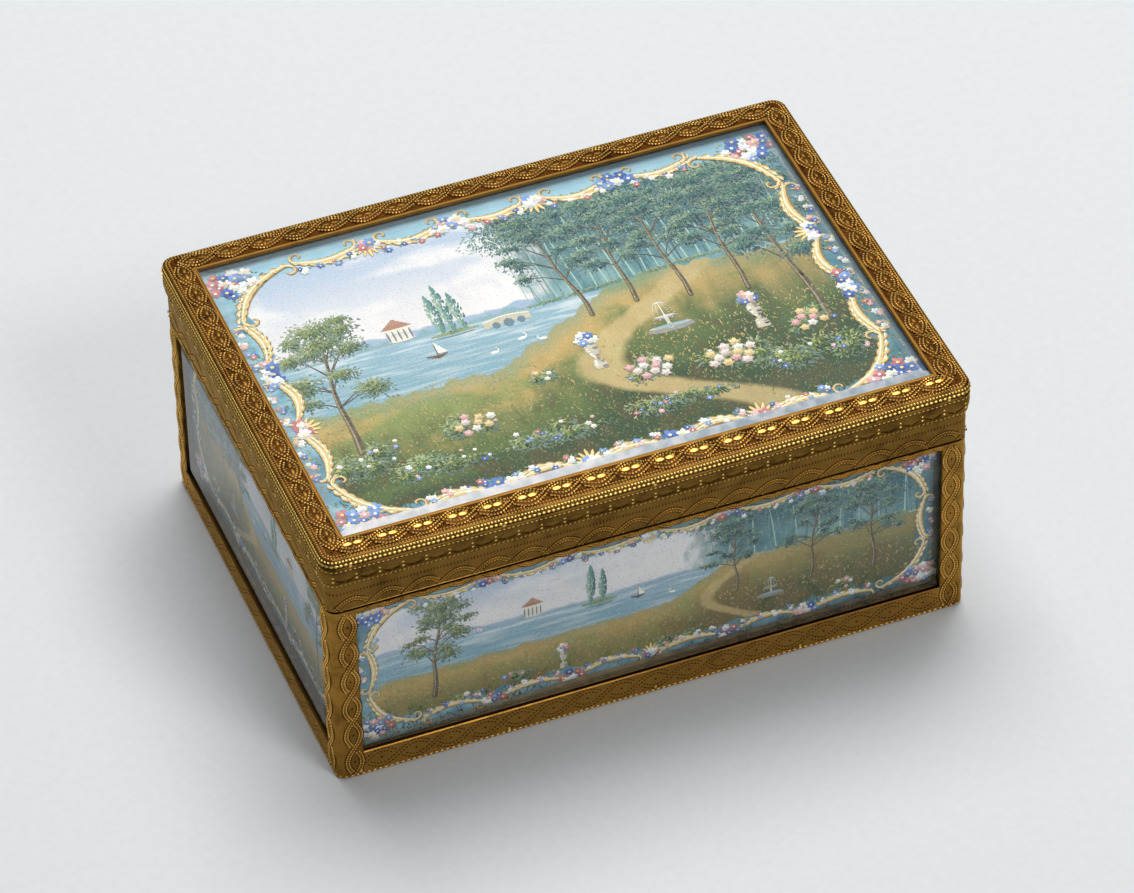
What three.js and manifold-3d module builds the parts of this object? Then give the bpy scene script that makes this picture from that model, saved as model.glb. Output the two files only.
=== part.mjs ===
// A gold cage snuff box: a gold framework that holds six painted panels under bevelled glass,
// with a gold lining inside and a lid hinged along the back.
// Millimetres. +X runs along the length, -Y faces the front, +Z is up, and the origin is at
// the middle of the bottom.

import * as THREE from 'three';
import { mergeVertices } from 'three/addons/utils/BufferGeometryUtils.js';
import Module from 'manifold-3d';

// Outside of the body and the lid
const BODY_LENGTH = 82.0;
const BODY_DEPTH = 59.4;
const CORNER_RADIUS = 1.4;
const SEAM_HEIGHT = 27.3;
const SEAM_GAP = 0.3;
const BAND_HEIGHT = 4.05;
const MOULDING_HEIGHT = 4.6;
const BORDER_CROWN = 0.3;
const RIM_OVERHANG = 0.6;
const THUMB_BOW = 0.6;

// Gold framework round the panels
const POST_WIDTH = 3.4;
const BOTTOM_RAIL = 3.8;
const TOP_RAIL = 0.85;
const BACK_TOP_RAIL = 3.2;
const SILL_LAP = 0.4;
const LIP = 0.6;
const WINDOW_CHAMFER = 0.12;
const FOOT_CHAMFER = 0.25;
const CLEAR = 0.25;

// One panel, from its face inwards: bevelled glass, air, painting on its card, backing card
const GLASS_EDGE = 0.45;
const GLASS_RISE = 0.65;
const BEVEL_WIDTH = 1.3;
const AIR = 0.2;
const PICTURE = 0.35;
const BACKING = 0.6;

// Frame of the base panel, let into the body from below
const BASE_RECESS = 0.3;
const BASE_FRAME = 1.0;
const BASE_RAIL = 1.8;

// Lining of the body, and the rim with the upstand that the lid closes over
const LINING = 0.45;
const RIM_PLATE = 0.35;
const UPSTAND = 0.45;
const UPSTAND_HEIGHT = 2.05;

// Wall of the lid, and what holds the lid's panel up
const BAND_WALL = 1.2;
const WINDOW_EDGE_DROP = 0.25;
const RETAINER_WALL = 0.95;
const RETAINER_PLATE = 0.9;
const RETAINER_LAP = 0.4;
const LID_LINING = 0.4;

// Hinge along the back
const HINGE_MARGIN = 6.0;
const HINGE_PROUD = 0.3;
const KNUCKLES = 11;
const KNUCKLE_RADIUS = 0.9;
const KNUCKLE_GAP = 0.25;
const HINGE_PIN_RADIUS = 0.4;
const HINGE_PIN_CLEAR = 0.2;
const HINGE_PIN_INSET = 0.2;
const LEAF_HEIGHT = 1.65;

// Small pins through the bottom rail and the moulding
const PINS_IN_ROW = 5;
const PIN_INSET = 2.9;
const PIN_RADIUS = 0.25;
const PIN_CLEAR = 0.1;
const PIN_PROUD = 0.15;
const PIN_BITE = 0.7;
const LID_PIN_LEVEL = 0.68;
const COVE_REACH = 0.47;

// Facets of the round forms
const CORNER_STEPS = 6;
const THUMB_STEPS = 12;
const PIN_SIDES = 10;
const KNUCKLE_SIDES = 16;
const HINGE_PIN_SIDES = 12;

// Heights and depths that follow from those sizes
const halfLength = BODY_LENGTH / 2;
const halfDepth = BODY_DEPTH / 2;
const panelDepth = LIP + CLEAR + GLASS_EDGE + AIR + PICTURE + BACKING;
const bodyTop = SEAM_HEIGHT - SEAM_GAP / 2;
const rimPlateBottom = bodyTop - RIM_PLATE;
const rimBed = rimPlateBottom - CLEAR;
const windowTop = bodyTop - TOP_RAIL;
const backWindowTop = bodyTop - BACK_TOP_RAIL;
const pocketBottom = BOTTOM_RAIL - SILL_LAP - CLEAR;
const baseFrameTop = BASE_RECESS + BASE_FRAME;
const baseLedge = baseFrameTop + CLEAR;
const liningBottom = baseFrameTop - LIP + panelDepth + CLEAR;
const lidBottom = SEAM_HEIGHT + SEAM_GAP / 2;
const bandTop = lidBottom + BAND_HEIGHT;
const borderEdge = bandTop + MOULDING_HEIGHT;
const lidTop = borderEdge + BORDER_CROWN;
const lidFace = lidTop - WINDOW_EDGE_DROP;
const lipUnder = lidFace - LIP;
const retainerOut = -(BAND_WALL + CLEAR);
const retainerIn = retainerOut - RETAINER_WALL;
const retainerSeat = lidFace - panelDepth - CLEAR;
const retainerBottom = retainerSeat - RETAINER_PLATE;
const lidLiningTop = retainerBottom - CLEAR;
const lidLiningIn = retainerOut - LID_LINING;
const leafIn = halfDepth - BAND_WALL;
const hingeY = halfDepth + HINGE_PROUD;
const hingeHalf = halfLength - HINGE_MARGIN;

const wasm = await Module();
wasm.setup();

const gold = { color: 0xc79f4e, roughness: 0.32, metalness: 1.0 };
const liningGold = { color: 0xd9b262, roughness: 0.24, metalness: 1.0 };
const glass = { color: 0xdfecef, roughness: 0.04, metalness: 0.0 };
const painting = { color: 0x9fc4c8, roughness: 0.7, metalness: 0.0 };
const card = { color: 0xd8ccb0, roughness: 0.9, metalness: 0.0 };

const box = new THREE.Group();

function add(name, geometry, look, parent = box) {
  const mesh = new THREE.Mesh(geometry, new THREE.MeshStandardMaterial(look));
  mesh.name = name;
  parent.add(mesh);
  return mesh;
}

// Shared vertices merged, and triangles that have closed up to a line left out
function welded(geometry) {
  const bare = geometry.clone();
  bare.deleteAttribute('normal');
  bare.deleteAttribute('uv');
  const merged = mergeVertices(bare, 1e-4);
  const corners = merged.index.array;
  const kept = [];
  for (let i = 0; i < corners.length; i += 3) {
    const [a, b, c] = [corners[i], corners[i + 1], corners[i + 2]];
    if (a !== b && b !== c && c !== a) kept.push(a, b, c);
  }
  merged.setIndex(kept);
  return merged;
}

function solidOf(geometry) {
  const merged = welded(geometry);
  return new wasm.Manifold(new wasm.Mesh({
    numProp: 3,
    vertProperties: new Float32Array(merged.attributes.position.array),
    triVerts: new Uint32Array(merged.index.array),
  }));
}

function geometryOf(solid) {
  const mesh = solid.getMesh();
  const geometry = new THREE.BufferGeometry();
  geometry.setAttribute('position', new THREE.BufferAttribute(mesh.vertProperties, 3));
  geometry.setIndex(new THREE.BufferAttribute(mesh.triVerts, 1));
  return geometry;
}

function cut(geometry, ...tools) {
  return geometryOf(tools.reduce((left, tool) => left.subtract(solidOf(tool)), solidOf(geometry)));
}

function join(geometry, ...others) {
  return geometryOf(others.reduce((sum, other) => sum.add(solidOf(other)), solidOf(geometry)));
}

function block([x0, x1], [y0, y1], [z0, z1]) {
  return new THREE.BoxGeometry(x1 - x0, y1 - y0, z1 - z0)
    .translate((x0 + x1) / 2, (y0 + y1) / 2, (z0 + z1) / 2);
}

// A solid through rectangles at rising heights, each one [half width, bottom, top, height]
function steppedBlock(levels) {
  const steps = levels.length - 1;
  const geometry = new THREE.BoxGeometry(2, 2, steps, 1, 1, steps);
  const position = geometry.attributes.position;
  for (let i = 0; i < position.count; i += 1) {
    const [halfWidth, bottom, top, height] = levels[Math.round(position.getZ(i) + steps / 2)];
    const across = position.getX(i) * halfWidth;
    position.setXYZ(i, across, position.getY(i) > 0 ? top : bottom, height);
  }
  return geometry;
}

function rodAlongX(radius, from, to, sides) {
  return new THREE.CylinderGeometry(radius, radius, to - from, sides)
    .rotateZ(Math.PI / 2)
    .translate((from + to) / 2, 0, 0);
}

// How far the front of the lid's edge swells outwards at a place along its length
function thumbCurve(x) {
  const share = x / (halfLength + RIM_OVERHANG);
  return THUMB_BOW * Math.max(1 - share * share, 0);
}

// The rounded rectangle that lies a given distance outside the body's upright faces
function outline(out, frontSteps) {
  const halfX = halfLength + out;
  const halfY = halfDepth + out;
  const radius = Math.max(CORNER_RADIUS + out, 0);
  const points = [];
  for (let i = 1; i < frontSteps; i += 1) {
    points.push([(halfX - radius) * (2 * i / frontSteps - 1), -halfY]);
  }
  const corners = [[1, -1], [1, 1], [-1, 1], [-1, -1]];
  corners.forEach(([sideX, sideY], quarter) => {
    for (let i = 0; i <= CORNER_STEPS; i += 1) {
      const angle = (quarter - 1 + i / CORNER_STEPS) * Math.PI / 2;
      points.push([
        sideX * (halfX - radius) + radius * Math.cos(angle),
        sideY * (halfY - radius) + radius * Math.sin(angle),
      ]);
    }
  });
  return points;
}

// A closed ring round the box. Its section is a loop of points, each one
// [distance outside the body's faces, height, share of the thumb curve].
function ring(section, frontSteps = 1) {
  const loops = section.map(([out]) => outline(out, frontSteps));
  const around = loops[0].length;
  const positions = [];
  for (let i = 0; i < around; i += 1) {
    section.forEach(([, height, bow = 0], j) => {
      const [x, y] = loops[j][i];
      const swell = y < 0 ? bow * thumbCurve(x) : 0;
      positions.push(x, y - swell, height);
    });
  }
  const sides = section.length;
  const faces = [];
  for (let i = 0; i < around; i += 1) {
    for (let j = 0; j < sides; j += 1) {
      const here = i * sides + j;
      const above = i * sides + (j + 1) % sides;
      const next = ((i + 1) % around) * sides + j;
      const nextAbove = ((i + 1) % around) * sides + (j + 1) % sides;
      faces.push(here, next, nextAbove, here, nextAbove, above);
    }
  }
  const geometry = new THREE.BufferGeometry();
  geometry.setAttribute('position', new THREE.Float32BufferAttribute(positions, 3));
  geometry.setIndex(faces);
  return welded(geometry);
}

// The four upright walls. Each is drawn flat, with x along it, y up and z outwards from its face.
// The back wall's window ends lower, because the hinge lies over it.
const paneTop = rimPlateBottom - CLEAR;
const backPaneTop = backWindowTop + SILL_LAP;
const walls = [
  { name: 'front', quarterTurns: 0, half: halfLength, face: halfDepth, windowTop, paneTop },
  { name: 'right', quarterTurns: 1, half: halfDepth, face: halfLength, windowTop, paneTop },
  {
    name: 'back',
    quarterTurns: 2,
    half: halfLength,
    face: halfDepth,
    windowTop: backWindowTop,
    paneTop: backPaneTop,
  },
  { name: 'left', quarterTurns: 3, half: halfDepth, face: halfLength, windowTop, paneTop },
];

function wallPlace(wall) {
  const turned = new THREE.Group();
  const flat = new THREE.Group();
  turned.rotation.z = wall.quarterTurns * Math.PI / 2;
  flat.position.y = -wall.face;
  flat.rotation.x = Math.PI / 2;
  turned.add(flat);
  box.add(turned);
  turned.updateMatrixWorld(true);
  return flat;
}

// A window through the lip, wider by a chamfer at its outer edge
function windowCutter(halfWidth, bottom, top) {
  const flare = WINDOW_CHAMFER + LIP;
  return steppedBlock([
    [halfWidth, bottom, top, -2 * LIP],
    [halfWidth, bottom, top, -WINDOW_CHAMFER],
    [halfWidth + flare, bottom - flare, top + flare, LIP],
  ]);
}

// Glass, painting and backing card of one panel, behind the lip of its window
function addPanel(name, place, pane, opening) {
  const [paneReach, paneLow, paneHigh] = pane;
  const [openReach, openLow, openHigh] = opening;
  const glassBack = -(LIP + CLEAR + GLASS_EDGE);
  const glassRim = glassBack + GLASS_EDGE;
  const bevelled = steppedBlock([
    [paneReach, paneLow, paneHigh, glassBack],
    [paneReach, paneLow, paneHigh, glassRim],
    [openReach, openLow, openHigh, glassRim],
    [openReach - BEVEL_WIDTH, openLow + BEVEL_WIDTH, openHigh - BEVEL_WIDTH, glassRim + GLASS_RISE],
  ]);
  const pictureFront = glassBack - AIR;
  const pictureBack = pictureFront - PICTURE;
  const across = [-paneReach, paneReach];
  const upright = [paneLow, paneHigh];
  add(`${name}_glass`, bevelled, glass, place);
  add(`${name}_miniature`, block(across, upright, [pictureBack, pictureFront]), painting, place);
  add(`${name}_backing`, block(across, upright, [-panelDepth, pictureBack]), card, place);
}

// Small pins through the bottom rail and the moulding, as places along the length
const pinPlaces = Array.from(
  { length: PINS_IN_ROW },
  (_, i) => (halfLength - PIN_INSET) * (2 * i / (PINS_IN_ROW - 1) - 1),
);

const pinRows = [
  { name: 'front', side: -1 },
  { name: 'back', side: 1 },
];

function pinHoles(height, toOut) {
  const length = 2 * (RIM_OVERHANG + THUMB_BOW) - toOut;
  const radius = PIN_RADIUS + PIN_CLEAR;
  return pinRows.flatMap((row) => pinPlaces.map((x) => (
    new THREE.CylinderGeometry(radius, radius, length, PIN_SIDES)
      .translate(x, row.side * (halfDepth + toOut + length / 2), height)
  )));
}

// A round pin with a domed head, from its hidden end to just proud of the surface
function addPins(name, height, hiddenOut, surfaceOut) {
  for (const row of pinRows) {
    pinPlaces.forEach((x, i) => {
      const swell = row.side < 0 ? surfaceOut.bow * thumbCurve(x) : 0;
      const length = surfaceOut.out + swell + PIN_PROUD - hiddenOut;
      const profile = [
        new THREE.Vector2(0, 0),
        new THREE.Vector2(PIN_RADIUS, 0),
        new THREE.Vector2(PIN_RADIUS, length - PIN_PROUD),
        new THREE.Vector2(PIN_RADIUS * Math.SQRT1_2, length - PIN_PROUD * (1 - Math.SQRT1_2)),
        new THREE.Vector2(0, length),
      ];
      const pin = new THREE.LatheGeometry(profile, PIN_SIDES);
      if (row.side < 0) pin.rotateX(Math.PI);
      const mesh = add(`${name}_pin_${row.name}_${i + 1}`, welded(pin), gold);
      mesh.position.set(x, row.side * (halfDepth + hiddenOut), height);
    });
  }
}

// Body cage: bottom rail, posts and top rail in one soldered frame, with a pocket behind each lip
const windowHalf = (wall) => wall.half - POST_WIDTH;
const paneHalf = (wall) => wall.half - panelDepth - CLEAR;

let cage = ring([
  [-FOOT_CHAMFER, 0],
  [0, FOOT_CHAMFER],
  [0, bodyTop],
  [-LIP, bodyTop],
  [-LIP, rimBed],
  [-panelDepth, rimBed],
  [-panelDepth, baseLedge],
  [-BASE_RAIL, baseLedge],
  [-BASE_RAIL, 0],
]);

for (const wall of walls) {
  const place = wallPlace(wall);
  const pocketHalf = wall.half - panelDepth;
  const pocketHeights = [pocketBottom, wall.paneTop + CLEAR];
  const pocket = block([-pocketHalf, pocketHalf], pocketHeights, [-2 * panelDepth, -LIP]);
  const opening = windowCutter(windowHalf(wall), BOTTOM_RAIL, wall.windowTop);
  cage = cut(cage, pocket.applyMatrix4(place.matrixWorld), opening.applyMatrix4(place.matrixWorld));
  addPanel(
    wall.name,
    place,
    [paneHalf(wall), pocketBottom + CLEAR, wall.paneTop],
    [windowHalf(wall), BOTTOM_RAIL, wall.windowTop],
  );
}

const innerHalfX = halfLength - panelDepth - CLEAR;
const innerHalfY = halfDepth - panelDepth - CLEAR;
const flatWindow = [halfLength - POST_WIDTH, POST_WIDTH - halfDepth, halfDepth - POST_WIDTH];
const basePinHeight = BASE_RECESS + BASE_FRAME / 2;
const basePinEnd = -(BASE_RAIL + CLEAR + PIN_BITE);
const bodyNotch = block(
  [-hingeHalf - CLEAR, hingeHalf + CLEAR],
  [leafIn - CLEAR, halfDepth + LIP],
  [bodyTop - LEAF_HEIGHT - CLEAR, bodyTop + LIP],
);
cage = cut(cage, bodyNotch, ...pinHoles(basePinHeight, basePinEnd - PIN_CLEAR));
add('body_cage', cage, gold);

// Base frame with its panel, let in from below and pinned through the bottom rail
const baseFrame = ring([
  [-(BASE_RAIL + CLEAR), BASE_RECESS],
  [-(BASE_RAIL + CLEAR), baseFrameTop],
  [-POST_WIDTH, baseFrameTop],
  [-POST_WIDTH, BASE_RECESS],
]);
add('base_frame', cut(baseFrame, ...pinHoles(basePinHeight, basePinEnd - PIN_CLEAR)), gold);
addPins('base', basePinHeight, basePinEnd, { out: 0, bow: 0 });

const basePlace = new THREE.Group();
basePlace.rotation.x = Math.PI;
basePlace.position.z = baseFrameTop - LIP;
box.add(basePlace);
addPanel('base', basePlace, [innerHalfX, -innerHalfY, innerHalfY], flatWindow);

// Gold lining of the body: floor and four walls
add('body_lining', cut(
  block([-innerHalfX, innerHalfX], [-innerHalfY, innerHalfY], [liningBottom, rimBed]),
  block(
    [-innerHalfX + LINING, innerHalfX - LINING],
    [-innerHalfY + LINING, innerHalfY - LINING],
    [liningBottom + LINING, rimBed + LINING],
  ),
), liningGold);

// Rim plate over the edges of the panels, with the upstand that the lid closes over
const upstandOut = lidLiningIn - CLEAR;
const rim = ring([
  [-(LIP + CLEAR), rimPlateBottom],
  [-(LIP + CLEAR), bodyTop],
  [upstandOut, bodyTop],
  [upstandOut, bodyTop + UPSTAND_HEIGHT],
  [upstandOut - UPSTAND, bodyTop + UPSTAND_HEIGHT],
  [upstandOut - UPSTAND, bodyTop],
  [-(panelDepth + CLEAR + LINING), bodyTop],
  [-(panelDepth + CLEAR + LINING), rimPlateBottom],
]);
const rimBackEdge = block([-halfLength, halfLength], [leafIn - CLEAR, halfDepth], [0, SEAM_HEIGHT]);
add('body_bezel', cut(rim, rimBackEdge), liningGold);

// Hinge leaves: a strip on each side of the seam, with knuckles that take turns along the pin
const pitch = 2 * hingeHalf / KNUCKLES;

function hingeRod(radius, from, to, sides = KNUCKLE_SIDES) {
  return rodAlongX(radius, from, to, sides).translate(0, hingeY, SEAM_HEIGHT);
}

function hingeLeaf(bottom, top, remainder) {
  const own = [];
  const grooves = [];
  for (let i = 0; i < KNUCKLES; i += 1) {
    const from = -hingeHalf + i * pitch;
    const to = from + pitch;
    if (i % 2 === remainder) {
      own.push(hingeRod(KNUCKLE_RADIUS, from + KNUCKLE_GAP / 2, to - KNUCKLE_GAP / 2));
    } else {
      grooves.push(hingeRod(KNUCKLE_RADIUS + CLEAR, from - KNUCKLE_GAP / 2, to + KNUCKLE_GAP / 2));
    }
  }
  const strip = cut(block([-hingeHalf, hingeHalf], [leafIn, halfDepth], [bottom, top]), ...grooves);
  const boreRadius = HINGE_PIN_RADIUS + HINGE_PIN_CLEAR;
  return cut(join(strip, ...own), hingeRod(boreRadius, -halfLength, halfLength));
}

add('body_hinge_leaf', hingeLeaf(bodyTop - LEAF_HEIGHT, bodyTop, 0), gold);
add('lid_hinge_leaf', hingeLeaf(lidBottom, lidBottom + LEAF_HEIGHT, 1), gold);
const pinHalf = hingeHalf - HINGE_PIN_INSET;
add('hinge_pin', welded(hingeRod(HINGE_PIN_RADIUS, -pinHalf, pinHalf, HINGE_PIN_SIDES)), gold);

// Upright band of the lid, notched at the back for the hinge leaf
const band = ring([
  [0, lidBottom],
  [0, bandTop],
  [-BAND_WALL, bandTop],
  [-BAND_WALL, lidBottom],
]);
const lidNotch = block(
  [-hingeHalf - CLEAR, hingeHalf + CLEAR],
  [leafIn - LIP, halfDepth + LIP],
  [lidBottom - LIP, lidBottom + LEAF_HEIGHT + CLEAR],
);
add('lid_band', cut(band, lidNotch), gold);

// Outer profile of the lid's moulding, as [share of the overhang, share of its height]:
// dashed fillet, leaning leaf band, dashed fillet, cove, rim bead, fine line, milled edge
const mouldingProfile = [
  [0.50, 0.01],
  [0.60, 0.055],
  [0.50, 0.10],
  [0.45, 0.12],
  [0.75, 0.25],
  [0.90, 0.42],
  [0.85, 0.54],
  [0.95, 0.57],
  [0.95, 0.605],
  [0.85, 0.635],
  [0.50, 0.66],
  [0.45, 0.70],
  [0.80, 0.73],
  [1.00, 0.78],
  [0.80, 0.83],
  [0.65, 0.85],
  [0.70, 0.885],
  [0.50, 0.93],
  [0.35, 0.975],
  [0.00, 1.00],
];

// The moulding takes part of the thumb curve at its foot, and all of it from this share upwards
const bowAtFoot = 0.4;
const fullBow = 0.4;
const mouldingBow = (share) => bowAtFoot + (1 - bowAtFoot) * Math.min(share / fullBow, 1);

// Top border, as [share of its width inwards, share of its crown]
const borderProfile = [
  [0.2, 0.6],
  [0.5, 1.0],
  [0.8, 0.65],
];
const mouldingPoints = mouldingProfile.map(([out, up]) => (
  [out * RIM_OVERHANG, bandTop + up * MOULDING_HEIGHT, mouldingBow(up)]
));
const borderPoints = borderProfile.map(([inward, up]) => (
  [-inward * POST_WIDTH, borderEdge + up * BORDER_CROWN, 1 - inward]
));
const lidFrameSection = [
  [-BAND_WALL, lipUnder],
  [-BAND_WALL, bandTop],
  [0, bandTop],
  ...mouldingPoints,
  ...borderPoints,
  [-POST_WIDTH + WINDOW_CHAMFER, lidFace],
  [-POST_WIDTH, lidFace - WINDOW_CHAMFER],
  [-POST_WIDTH, lipUnder],
];
const lidPinHeight = bandTop + LID_PIN_LEVEL * MOULDING_HEIGHT;
const lidPinEnd = retainerOut - PIN_BITE;
const lidPinHoles = () => pinHoles(lidPinHeight, lidPinEnd - PIN_CLEAR);
add('lid_frame', cut(ring(lidFrameSection, THUMB_STEPS), ...lidPinHoles()), gold);

// Frame inside the moulding that holds the lid's panel up against the lip
const retainer = ring([
  [retainerOut, retainerBottom],
  [retainerOut, lipUnder - CLEAR],
  [retainerIn, lipUnder - CLEAR],
  [retainerIn, retainerSeat],
  [-(POST_WIDTH + RETAINER_LAP), retainerSeat],
  [-(POST_WIDTH + RETAINER_LAP), retainerBottom],
]);
add('lid_retainer', cut(retainer, ...lidPinHoles()), gold);
addPins('lid', lidPinHeight, lidPinEnd, { out: COVE_REACH * RIM_OVERHANG, bow: mouldingBow(LID_PIN_LEVEL) });

const lidPlace = new THREE.Group();
lidPlace.position.z = lidFace;
box.add(lidPlace);
const lidPaneX = halfLength + retainerIn - CLEAR;
const lidPaneY = halfDepth + retainerIn - CLEAR;
addPanel('lid', lidPlace, [lidPaneX, -lidPaneY, lidPaneY], flatWindow);

// Gold lining of the lid: a plate with turned-down sides, inside the band
const trayX = halfLength + retainerOut;
const trayY = halfDepth + retainerOut;
add('lid_lining', cut(
  block([-trayX, trayX], [-trayY, trayY], [lidBottom, lidLiningTop]),
  block(
    [-trayX + LID_LINING, trayX - LID_LINING],
    [-trayY + LID_LINING, trayY - LID_LINING],
    [lidBottom - LID_LINING, lidLiningTop - LID_LINING],
  ),
), liningGold);

export default box;
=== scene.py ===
import math
import random

import bmesh
import bpy
from mathutils import Matrix, Vector


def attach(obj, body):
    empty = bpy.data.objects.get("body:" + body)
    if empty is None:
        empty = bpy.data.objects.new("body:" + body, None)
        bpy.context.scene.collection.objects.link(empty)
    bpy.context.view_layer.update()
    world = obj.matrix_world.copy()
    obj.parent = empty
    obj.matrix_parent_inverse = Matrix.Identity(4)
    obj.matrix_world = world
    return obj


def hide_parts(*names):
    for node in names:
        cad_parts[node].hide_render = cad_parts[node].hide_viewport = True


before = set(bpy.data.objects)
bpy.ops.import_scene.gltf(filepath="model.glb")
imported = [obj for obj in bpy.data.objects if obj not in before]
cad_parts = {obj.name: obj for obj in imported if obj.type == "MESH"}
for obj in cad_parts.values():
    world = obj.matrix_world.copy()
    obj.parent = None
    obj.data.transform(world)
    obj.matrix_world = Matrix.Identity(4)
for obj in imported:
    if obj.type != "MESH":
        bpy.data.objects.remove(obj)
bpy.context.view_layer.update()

# Cage of the body. The real one is soldered up from gold bars, rubbed smooth, and its corners
# are rounded over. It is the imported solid, merged and shaded smooth over its round corners.
MM = 0.001
HALF_LENGTH = 41.0
HALF_DEPTH = 29.7
BODY_TOP = 27.15
POST = 3.4
BOTTOM_RAIL = 3.8
CORNER_RADIUS = 1.4


class Value:
    """A number, colour or direction in a material. Sums on it add the material's nodes."""

    def __init__(self, finish, socket):
        self.finish = finish
        self.socket = socket

    def maths(self, operation, *others):
        inputs = dict(enumerate((self, *others)))
        return self.finish.node("ShaderNodeMath", {"operation": operation}, inputs)

    def __add__(self, other):
        return self.maths("ADD", other)

    def __sub__(self, other):
        return self.maths("SUBTRACT", other)

    def __rsub__(self, other):
        return self.finish.node("ShaderNodeMath", {"operation": "SUBTRACT"}, {0: other, 1: self})

    def __mul__(self, other):
        return self.maths("MULTIPLY", other)

    def __truediv__(self, other):
        return self.maths("DIVIDE", other)

    def __abs__(self):
        return self.maths("ABSOLUTE")

    __radd__ = __add__
    __rmul__ = __mul__

    def most(self, other):
        return self.maths("MAXIMUM", other)

    def least(self, other):
        return self.maths("MINIMUM", other)

    def sine(self):
        return self.maths("SINE")

    def rising(self, low, high):
        """0 up to low, 1 from high, and a soft step between them."""
        settings = {"interpolation_type": "SMOOTHSTEP"}
        return self.finish.node("ShaderNodeMapRange", settings, {0: self, 1: low, 2: high})


class Finish:
    """A material while it is being made."""

    def __init__(self, name):
        self.material = bpy.data.materials.new(name)
        self.material.use_nodes = True
        self.tree = self.material.node_tree
        self.tree.nodes.clear()

    def node(self, kind, settings=None, inputs=None, output=0):
        made = self.tree.nodes.new(kind)
        for key, value in (settings or {}).items():
            setattr(made, key, value)
        for key, value in (inputs or {}).items():
            if isinstance(value, Value):
                self.tree.links.new(value.socket, made.inputs[key])
            else:
                made.inputs[key].default_value = value
        return Value(self, made.outputs[output])

    def place(self):
        """The place on the object, in millimetres."""
        metres = self.node("ShaderNodeTexCoord", output="Object")
        scale = {"operation": "SCALE"}
        return self.node("ShaderNodeVectorMath", scale, {0: metres, "Scale": 1 / MM})

    def along(self, place):
        """The three coordinates of a place."""
        return [self.node("ShaderNodeSeparateXYZ", inputs={0: place}, output=i) for i in range(3)]

    def vector(self, x, y, z=0.0):
        return self.node("ShaderNodeCombineXYZ", inputs={0: x, 1: y, 2: z})

    def grain(self, place, size, detail=2.0, roughness=0.5):
        """Uneven patches of about the given size, from 0 to 1."""
        inputs = {"Vector": place, "Scale": 1 / size, "Detail": detail, "Roughness": roughness}
        return self.node("ShaderNodeTexNoise", inputs=inputs)

    def mix(self, share, first, second):
        settings = {"data_type": "RGBA"}
        return self.node("ShaderNodeMix", settings, {0: share, 6: first, 7: second}, output=2)

    def layers(self, colour, *coats):
        """A colour with others over it, each laid on by its share."""
        for share, over in coats:
            colour = self.mix(share, colour, over)
        return colour

    def bump(self, height, depth):
        return self.node("ShaderNodeBump", inputs={"Height": height, "Distance": depth * MM, "Strength": 1.0})

    def coated(self, inputs):
        """The material with an opaque surface."""
        return self.surface(self.node("ShaderNodeBsdfPrincipled", inputs=inputs))

    def surface(self, shader):
        output = self.tree.nodes.new("ShaderNodeOutputMaterial")
        self.tree.links.new(shader.socket, output.inputs["Surface"])
        return self.material


def tone(red, green, blue):
    """A colour as a painter reads it off a card, from 0 to 255, for a node."""
    shares = [value / 255 for value in (red, green, blue)]
    return [s / 12.92 if s < 0.04 else ((s + 0.055) / 1.055) ** 2.4 for s in shares] + [1.0]


def gold(name, worn, browned, tarnish, roughness, texture, painted_light=0.0):
    """Gold, browned by age in patches and polished where it is handled. With painted light it also has a
    bottom rail painted lighter as if lit, a painted shadow line along the sill that a painted glint lightens
    towards the left, and painted shade inside the windows.
    """
    finish = Finish(name)
    place = finish.place()
    patches = finish.grain(place, 2.6, detail=3.0, roughness=0.6)
    specks = finish.grain(place, 0.16)
    brown = (patches * 0.65 + specks * 0.35).rising(tarnish, tarnish + 0.3)
    x, y, z = finish.along(place)
    scratches = finish.grain(finish.vector(x, y, z * 7), 0.5)
    coats = [(brown, browned)]
    if painted_light:
        # Painted light on the cage: the rail lighter as if lit, a painted shadow line on the sill, and
        # painted shade in the window recesses.
        window_x, window_y = HALF_LENGTH - POST, HALF_DEPTH - POST
        post = abs(x).rising(window_x + 0.1, window_x + 0.3) * abs(y).rising(window_y + 0.1, window_y + 0.3)
        rail = (1 - z.rising(BOTTOM_RAIL - 0.3, BOTTOM_RAIL - 0.14)) * (1 - post)
        sill = z.rising(BOTTOM_RAIL - 0.16, BOTTOM_RAIL - 0.12)
        sill = sill * (1 - z.rising(BOTTOM_RAIL + 0.04, BOTTOM_RAIL + 0.08))
        # Painted glint: the sill's shadow line is lighter towards the left, in patches.
        bright = (x * (-1 / HALF_LENGTH) + patches * 0.8 - 0.4).rising(-0.2, 0.5)
        depth = (HALF_LENGTH - abs(x)).least(HALF_DEPTH - abs(y)).rising(0.1, 0.25)
        sides = z.rising(0.3, 0.6) * (1 - z.rising(BOTTOM_RAIL + 0.4, BOTTOM_RAIL + 0.8) * 0.5)
        coats += [
            (rail * 0.4, tone(206, 156, 76)),
            (sill * (1 - post) * (0.95 - bright * 0.5), tone(60, 40, 16)),
            (depth * (1 - post) * sides * painted_light, tone(48, 34, 16)),
        ]
    return finish.coated({
        "Base Color": finish.layers(worn, *coats),
        "Metallic": 1.0,
        "Specular Tint": (1.0, 0.82, 0.54, 1.0),
        "Roughness": roughness + patches * 0.08 + specks * 0.08,
        "Normal": finish.bump(specks * 0.6 + scratches * 0.4, texture),
    })


plain_gold = gold("plain_gold", tone(152, 112, 50), tone(104, 72, 30), 0.42, 0.27, 0.006)
# The cage's gold has painted light: a lighter rail, a shaded sill with a glint at the left, and painted shade
# in the windows.
cage_gold = gold("cage_gold", tone(152, 112, 50), tone(104, 72, 30), 0.42, 0.27, 0.006, painted_light=0.85)


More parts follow.
